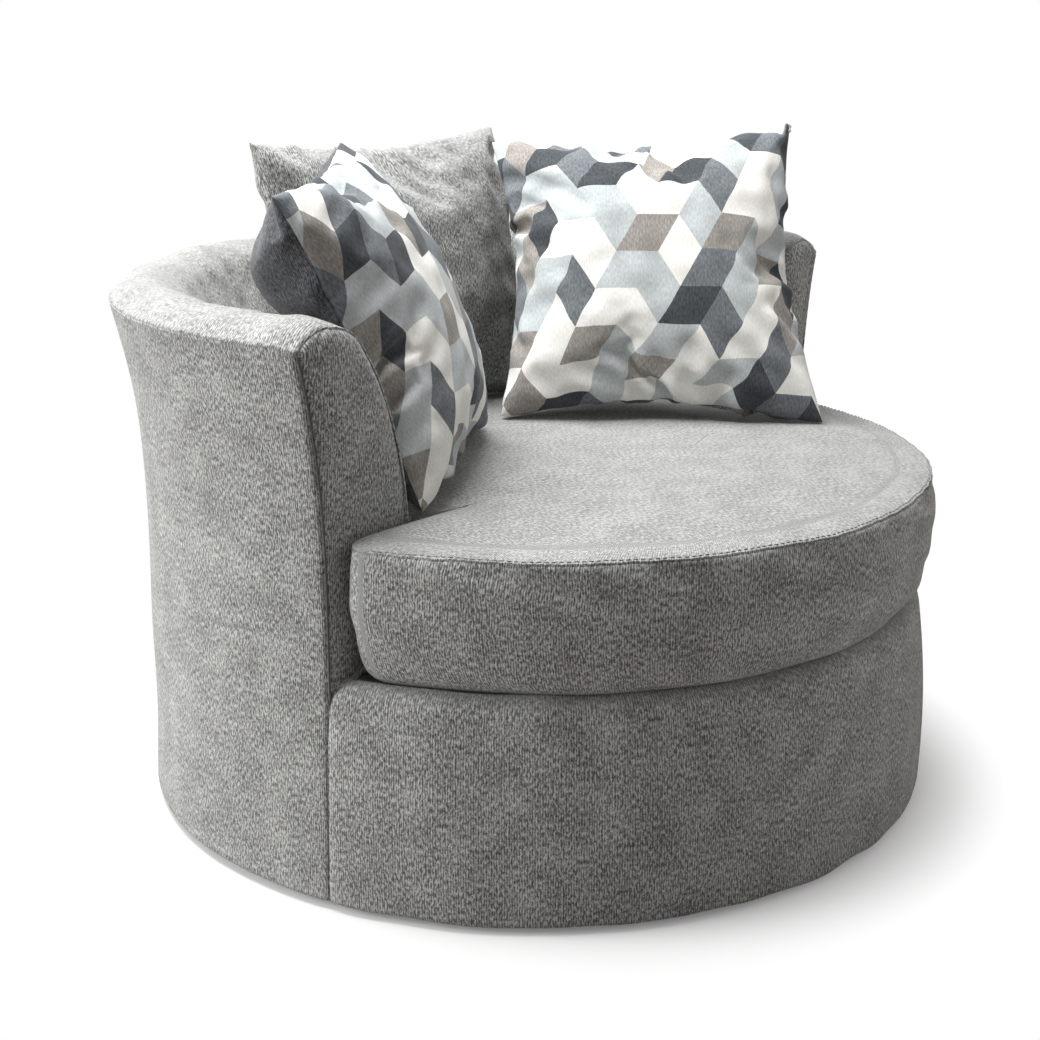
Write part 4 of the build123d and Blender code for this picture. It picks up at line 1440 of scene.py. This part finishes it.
    def settle(self, points: np.ndarray) -> np.ndarray:
        """Flatten the pillow where it meets the seat: no point lies lower than the rest gap above it.

        Args:
            points: places in the frame, n by 3.

        Returns:
            Settled places.
        """
        seat = SeatCushion().height(points[:, 0], points[:, 1])
        settled = points.copy()
        settled[:, 2] = np.maximum(settled[:, 2], seat + self.rest_gap)
        return settled

    def build(self) -> None:
        """Make the pillow at the middle height of its solids, with its plain back where it has one."""
        shaped, faces, weave = self.stuffed()
        boxes = [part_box(self.node + part) for part in ("_front", "_back")]
        middle_z = (min(box[0][2] for box in boxes) + max(box[1][2] for box in boxes)) / 2.0
        place = np.array([self.place[0], self.place[1], middle_z - self.sink]) + self.push * self.axes()[2]
        points = self.settle(place + shaped @ self.axes())
        piece = Piece(self.name, self.body, self.slot, self.front,
                      (self.node + "_front", self.node + "_back", self.node + "_fill"), 0.75, levels=1)
        made = piece.make(points, faces, weave)
        if self.back is not self.front:
            made.data.materials.append(finish_of(self.back))
            index = np.zeros(len(faces), dtype=np.int32)
            index[len(faces) // 2:] = 1
            made.data.polygons.foreach_set("material_index", index)


@dataclass
class HiddenFrame:
    """Wood, steel and plastic inside the chair: the frame's own nodes with their finishes."""

    def dress(self) -> None:
        """Give every node that stays its finish by its slot."""
        for entry in frame["record"]["subparts"]:
            node, slot = entry["node"], entry["material_slot"]
            made = bpy.data.objects.get(node)
            finish = INNER_FINISHES.get(slot)
            if made is None or finish is None:
                continue
            made.data.materials.clear()
            made.data.materials.append(finish_of(finish))
            LOG.info("node %s: %s", node, finish.name)


def round_points(radius: np.ndarray, angle: np.ndarray, z: np.ndarray) -> np.ndarray:
    """Points at a radius, an angle about the swivel axis and a height, broadcast over each other."""
    return np.stack(np.broadcast_arrays(radius * np.cos(angle), radius * np.sin(angle), z), axis=-1)


@dataclass
class SeatDeck:
    """Decking cloth under the loose cushion."""

    radius: float = 0.4295
    front_radius: float = 0.5435
    front_y: float = -0.1205
    top: float = 0.3078
    sag: float = 6.0 * MM
    rings: int = 40
    columns: int = 240

    def build(self) -> None:
        """One stretched field, wider before the arm fronts: the sag falls to its edge with a square."""
        angle = np.linspace(0.0, 2.0 * np.pi, self.columns, endpoint=False)
        level = np.where(np.sin(angle) < 0.0, self.front_y / np.minimum(np.sin(angle), -1e-6), np.inf)
        reach = np.where(level < self.front_radius, self.front_radius, self.radius)
        share = np.linspace(0.0, 1.0, self.rings)[:, None]
        points = round_points(reach * share, angle, self.top - self.sag * (1.0 - share**2))
        piece = Piece("deck_cloth_field", Body.CHAIR, "deck_fabric", DECKING, ("deck_cloth", "deck_pad"),
                      thickness=1.5 * MM)
        faces = grid_faces(self.rings, self.columns, wrap=True)
        merge_poles(piece.make(points.reshape(-1, 3), faces, points[..., :2].reshape(-1, 2)))


@dataclass
class BackZip:
    """Zip tape sewn round the back of the cushion's boxing, with its row of teeth."""

    start_deg: float = 15.0
    end_deg: float = 165.0
    tooth: float = 2.4 * MM
    stand: float = 1.4 * MM
    rib: float = 0.4 * MM
    tooth_rise: float = 0.5 * MM
    rows: int = 13
    columns: int = 900

    def build(self) -> None:
        """Carry the tape's section round the back arc: flat edges and a toothed bell along the middle."""
        low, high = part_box("cushion_zip_tape")
        cushion = SeatCushion()
        side = cushion.profile()[:cushion.side_rows]
        outer = cushion.back_radius
        angle = np.radians(np.linspace(self.start_deg, self.end_deg, self.columns))[None, :]
        rise = np.linspace(0.0, 1.0, self.rows)[:, None]
        z = low[2] + (high[2] - low[2]) * rise
        teeth = 0.5 + 0.5 * np.sign(np.sin(angle * outer * 2.0 * np.pi / self.tooth))
        inset = np.interp(z, side[:, 1], side[:, 0])
        radius = outer - inset + self.stand + bell(rise, 0.5, 0.09) * (self.rib + self.tooth_rise * teeth)
        points = round_points(radius, angle, z)
        weave = np.stack(np.broadcast_arrays(angle * outer, z), axis=-1)
        piece = Piece("cushion_zip", Body.CUSHION, "zip_tape", INNER_FINISHES["zip_tape"],
                      ("cushion_zip_tape",), thickness=0.8 * MM)
        faces = grid_faces(self.rows, self.columns)[:, ::-1]
        piece.make(points.reshape(-1, 3), faces, weave.reshape(-1, 2))


@dataclass
class DustCover:
    """Thin black cloth stapled under the base board, sagging a little between its edges."""

    inner: float = 0.201
    edge_gap: float = 0.5 * MM
    board_gap: float = 0.8 * MM
    sag: float = 2.0 * MM
    rings: int = 24
    columns: int = 180

    def build(self) -> None:
        """Flat ring whose height falls with a sine from its inner to its outer edge."""
        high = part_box("dust_cover")[1]
        outer = float(high[0]) - self.edge_gap
        share = np.linspace(0.0, 1.0, self.rings)[:, None]
        angle = np.linspace(0.0, 2.0 * np.pi, self.columns, endpoint=False)[None, :]
        z = float(high[2]) - self.board_gap - self.sag * np.sin(np.pi * share)
        points = round_points(self.inner + (outer - self.inner) * share, angle, z)
        piece = Piece("dust_cover_cloth", Body.CHAIR, "dust_cloth", INNER_FINISHES["dust_cloth"],
                      ("dust_cover",), thickness=0.5 * MM)
        faces = grid_faces(self.rings, self.columns, wrap=True)
        piece.make(points.reshape(-1, 3), faces, points[..., :2].reshape(-1, 2))


@dataclass
class Studio:
    """Pale floor, soft light and the photograph's camera."""

    eye: tuple[float, float, float] = (-1.989, -1.610, 1.116)
    pitch_deg: float = 16.13
    heading_deg: float = -51.0
    focal_px: float = 1750.0
    frame_px: float = 1040.0
    middle_px: tuple[float, float] = (536.5, 520.0)
    sensor_mm: float = 36.0
    aim: tuple[float, float, float] = (0.0, 0.0, 0.4)
    floor_half: float = 12.0
    # The floor keeps the shadow near the hem and fades out to white between these distances.
    fade_start: float = 0.57
    fade_end: float = 0.72
    world_fill: float = 0.25

    def camera(self) -> None:
        """Set the fitted camera: focal length and picture middle come from the photograph's frame."""
        data = bpy.data.cameras.new("camera")
        data.sensor_width = self.sensor_mm
        data.lens = self.focal_px / self.frame_px * self.sensor_mm
        data.shift_x = -(self.middle_px[0] - self.frame_px / 2.0) / self.frame_px
        data.shift_y = (self.middle_px[1] - self.frame_px / 2.0) / self.frame_px
        made = bpy.data.objects.new("camera", data)
        made.location = self.eye
        made.rotation_euler = (math.radians(90.0 - self.pitch_deg), 0.0, math.radians(self.heading_deg))
        bpy.context.scene.collection.objects.link(made)
        bpy.context.scene.camera = made

    def lamp(self, name: str, place: tuple[float, float, float], size: float, power: float) -> None:
        """Hang one square area lamp that looks at the seat.

        Args:
            name: name of the lamp.
            place: where it hangs.
            size: length of its side in metres.
            power: watts.
        """
        data = bpy.data.lights.new(name, "AREA")
        data.size = size
        data.energy = power
        made = bpy.data.objects.new(name, data)
        made.location = place
        made.rotation_euler = (Vector(self.aim) - Vector(place)).to_track_quat("-Z", "Y").to_euler()
        bpy.context.scene.collection.objects.link(made)

    def seen(self, tree: bpy.types.NodeTree) -> bpy.types.NodeSocket:
        """Whether a ray comes from the camera, from a reflection or through glass.

        Args:
            tree: node tree that gets the nodes.

        Returns:
            Socket that gives 1 for such a ray and else 0.
        """
        path = add_node(tree, "ShaderNodeLightPath")
        shown = path.outputs["Is Camera Ray"]
        for ray in ("Is Glossy Ray", "Is Transmission Ray"):
            either = add_node(tree, "ShaderNodeMath", {0: shown, 1: path.outputs[ray]}, operation="MAXIMUM")
            shown = either.outputs[0]
        return shown

    def floor(self) -> None:
        """Lay a pale floor that fades into the white of the world, and that bounces a dimmer light."""
        mesh = bpy.data.meshes.new("studio_floor")
        half = self.floor_half
        corners = [(-half, -half, 0), (half, -half, 0), (half, half, 0), (-half, half, 0)]
        mesh.from_pydata(corners, [], [(0, 1, 2, 3)])
        made = bpy.data.objects.new("studio_floor", mesh)
        bpy.context.scene.collection.objects.link(made)
        material, tree, shader = new_material("studio_paper")
        set_inputs(shader, {"Roughness": 0.9})
        glow = add_node(tree, "ShaderNodeEmission", {"Color": (1.0, 1.0, 1.0, 1.0), "Strength": 1.0})
        shown = self.seen(tree)
        paper = add_node(tree, "ShaderNodeMix", {0: shown, 6: linear("#8C8886"), 7: linear("#F4F4F4")},
                         data_type="RGBA")
        tree.links.new(paper.outputs[2], shader.inputs["Base Color"])
        place = add_node(tree, "ShaderNodeTexCoord").outputs["Object"]
        far = add_node(tree, "ShaderNodeVectorMath", {0: place}, operation="LENGTH")
        white = add_node(tree, "ShaderNodeMapRange", {
            0: far.outputs["Value"], 1: self.fade_start, 2: self.fade_end, 3: 0.15, 4: 1.0})
        share = add_node(tree, "ShaderNodeMath", {0: shown, 1: white.outputs[0]}, operation="MULTIPLY")
        mixed = add_node(tree, "ShaderNodeMixShader", {
            0: share.outputs[0], 1: shader.outputs[0], 2: glow.outputs[0]})
        tree.links.new(mixed.outputs[0], tree.nodes["Material Output"].inputs["Surface"])
        mesh.materials.append(material)

    def world(self) -> None:
        """White to the camera and to reflections, a soft even light to the object."""
        world = bpy.data.worlds.new("studio_world")
        world.use_nodes = True
        tree = world.node_tree
        shown = self.seen(tree)
        strength = add_node(tree, "ShaderNodeMapRange", {0: shown, 3: self.world_fill, 4: 1.0})
        fill = add_node(tree, "ShaderNodeMix", {0: shown, 6: linear("#FFF8F5"), 7: linear("#FFFFFF")},
                        data_type="RGBA")
        sky = tree.nodes["Background"]
        tree.links.new(fill.outputs[2], sky.inputs["Color"])
        tree.links.new(strength.outputs[0], sky.inputs["Strength"])
        bpy.context.scene.world = world

    def build(self) -> None:
        """Set the whole stage."""
        bpy.context.scene.view_settings.view_transform = "Standard"
        self.camera()
        self.floor()
        self.world()
        self.lamp("overhead_softbox", (-0.3, 0.8, 3.1), 2.2, 190.0)
        self.lamp("right_fill", (1.9, -2.7, 1.2), 2.0, 16.0)
        self.lamp("left_softbox", (-2.7, 1.9, 1.3), 1.6, 84.0)


def pillows() -> list[Pillow]:
    """The three loose pillows at the frame's places, the accents filled out and bent as the photograph shows.

    Returns:
        Back, left and right pillow.
    """
    accent = (0.490, 0.476)
    return [
        Pillow("back_pillow_body", Body.BACK, (0.548, 0.446, 0.190), (0.052, 0.317), 0.0, 12.0, "back_pillow",
               CHENILLE, CHENILLE, "chenille", seed=3, sag=0.10),
        Pillow("left_accent_body", Body.LEFT, (*accent, 0.188), (-0.270, 0.053), 36.0, 25.0, "left_accent",
               ACCENT_FRONT, ACCENT_BACK, "accent_print", seed=7, push=0.012, sag=0.11,
               swell=(-0.55, 0.62, 0.040), cloth_shift=(0.031, 0.0537),
               corners={(-1, 1): (0.0, -0.026, -0.020), (-1, -1): (0.026, 0.004, -0.034)}),
        Pillow("right_accent_body", Body.RIGHT, (*accent, 0.160), (0.293, 0.003), -48.0, 29.0, "right_accent",
               ACCENT_FRONT, ACCENT_BACK, "accent_print", seed=11, push=0.005, sag=0.14,
               corners={(1, 1): (0.0, 0.022, 0.0), (1, -1): (0.014, -0.020, 0.030),
                        (-1, -1): (-0.004, 0.006, 0.0), (-1, 1): (-0.008, 0.0, 0.0)}),
    ]


def main() -> None:
    """Build the stage and every piece of the chair in order."""
    logging.basicConfig(level=logging.INFO, format="%(name)s %(message)s")
    Studio().build()
    HiddenFrame().dress()
    BarrelWall().build()
    SeatDeck().build()
    SeatCushion().build()
    BackZip().build()
    DustCover().build()
    for pillow in pillows():
        pillow.build()


if __name__ == "__main__":
    main()
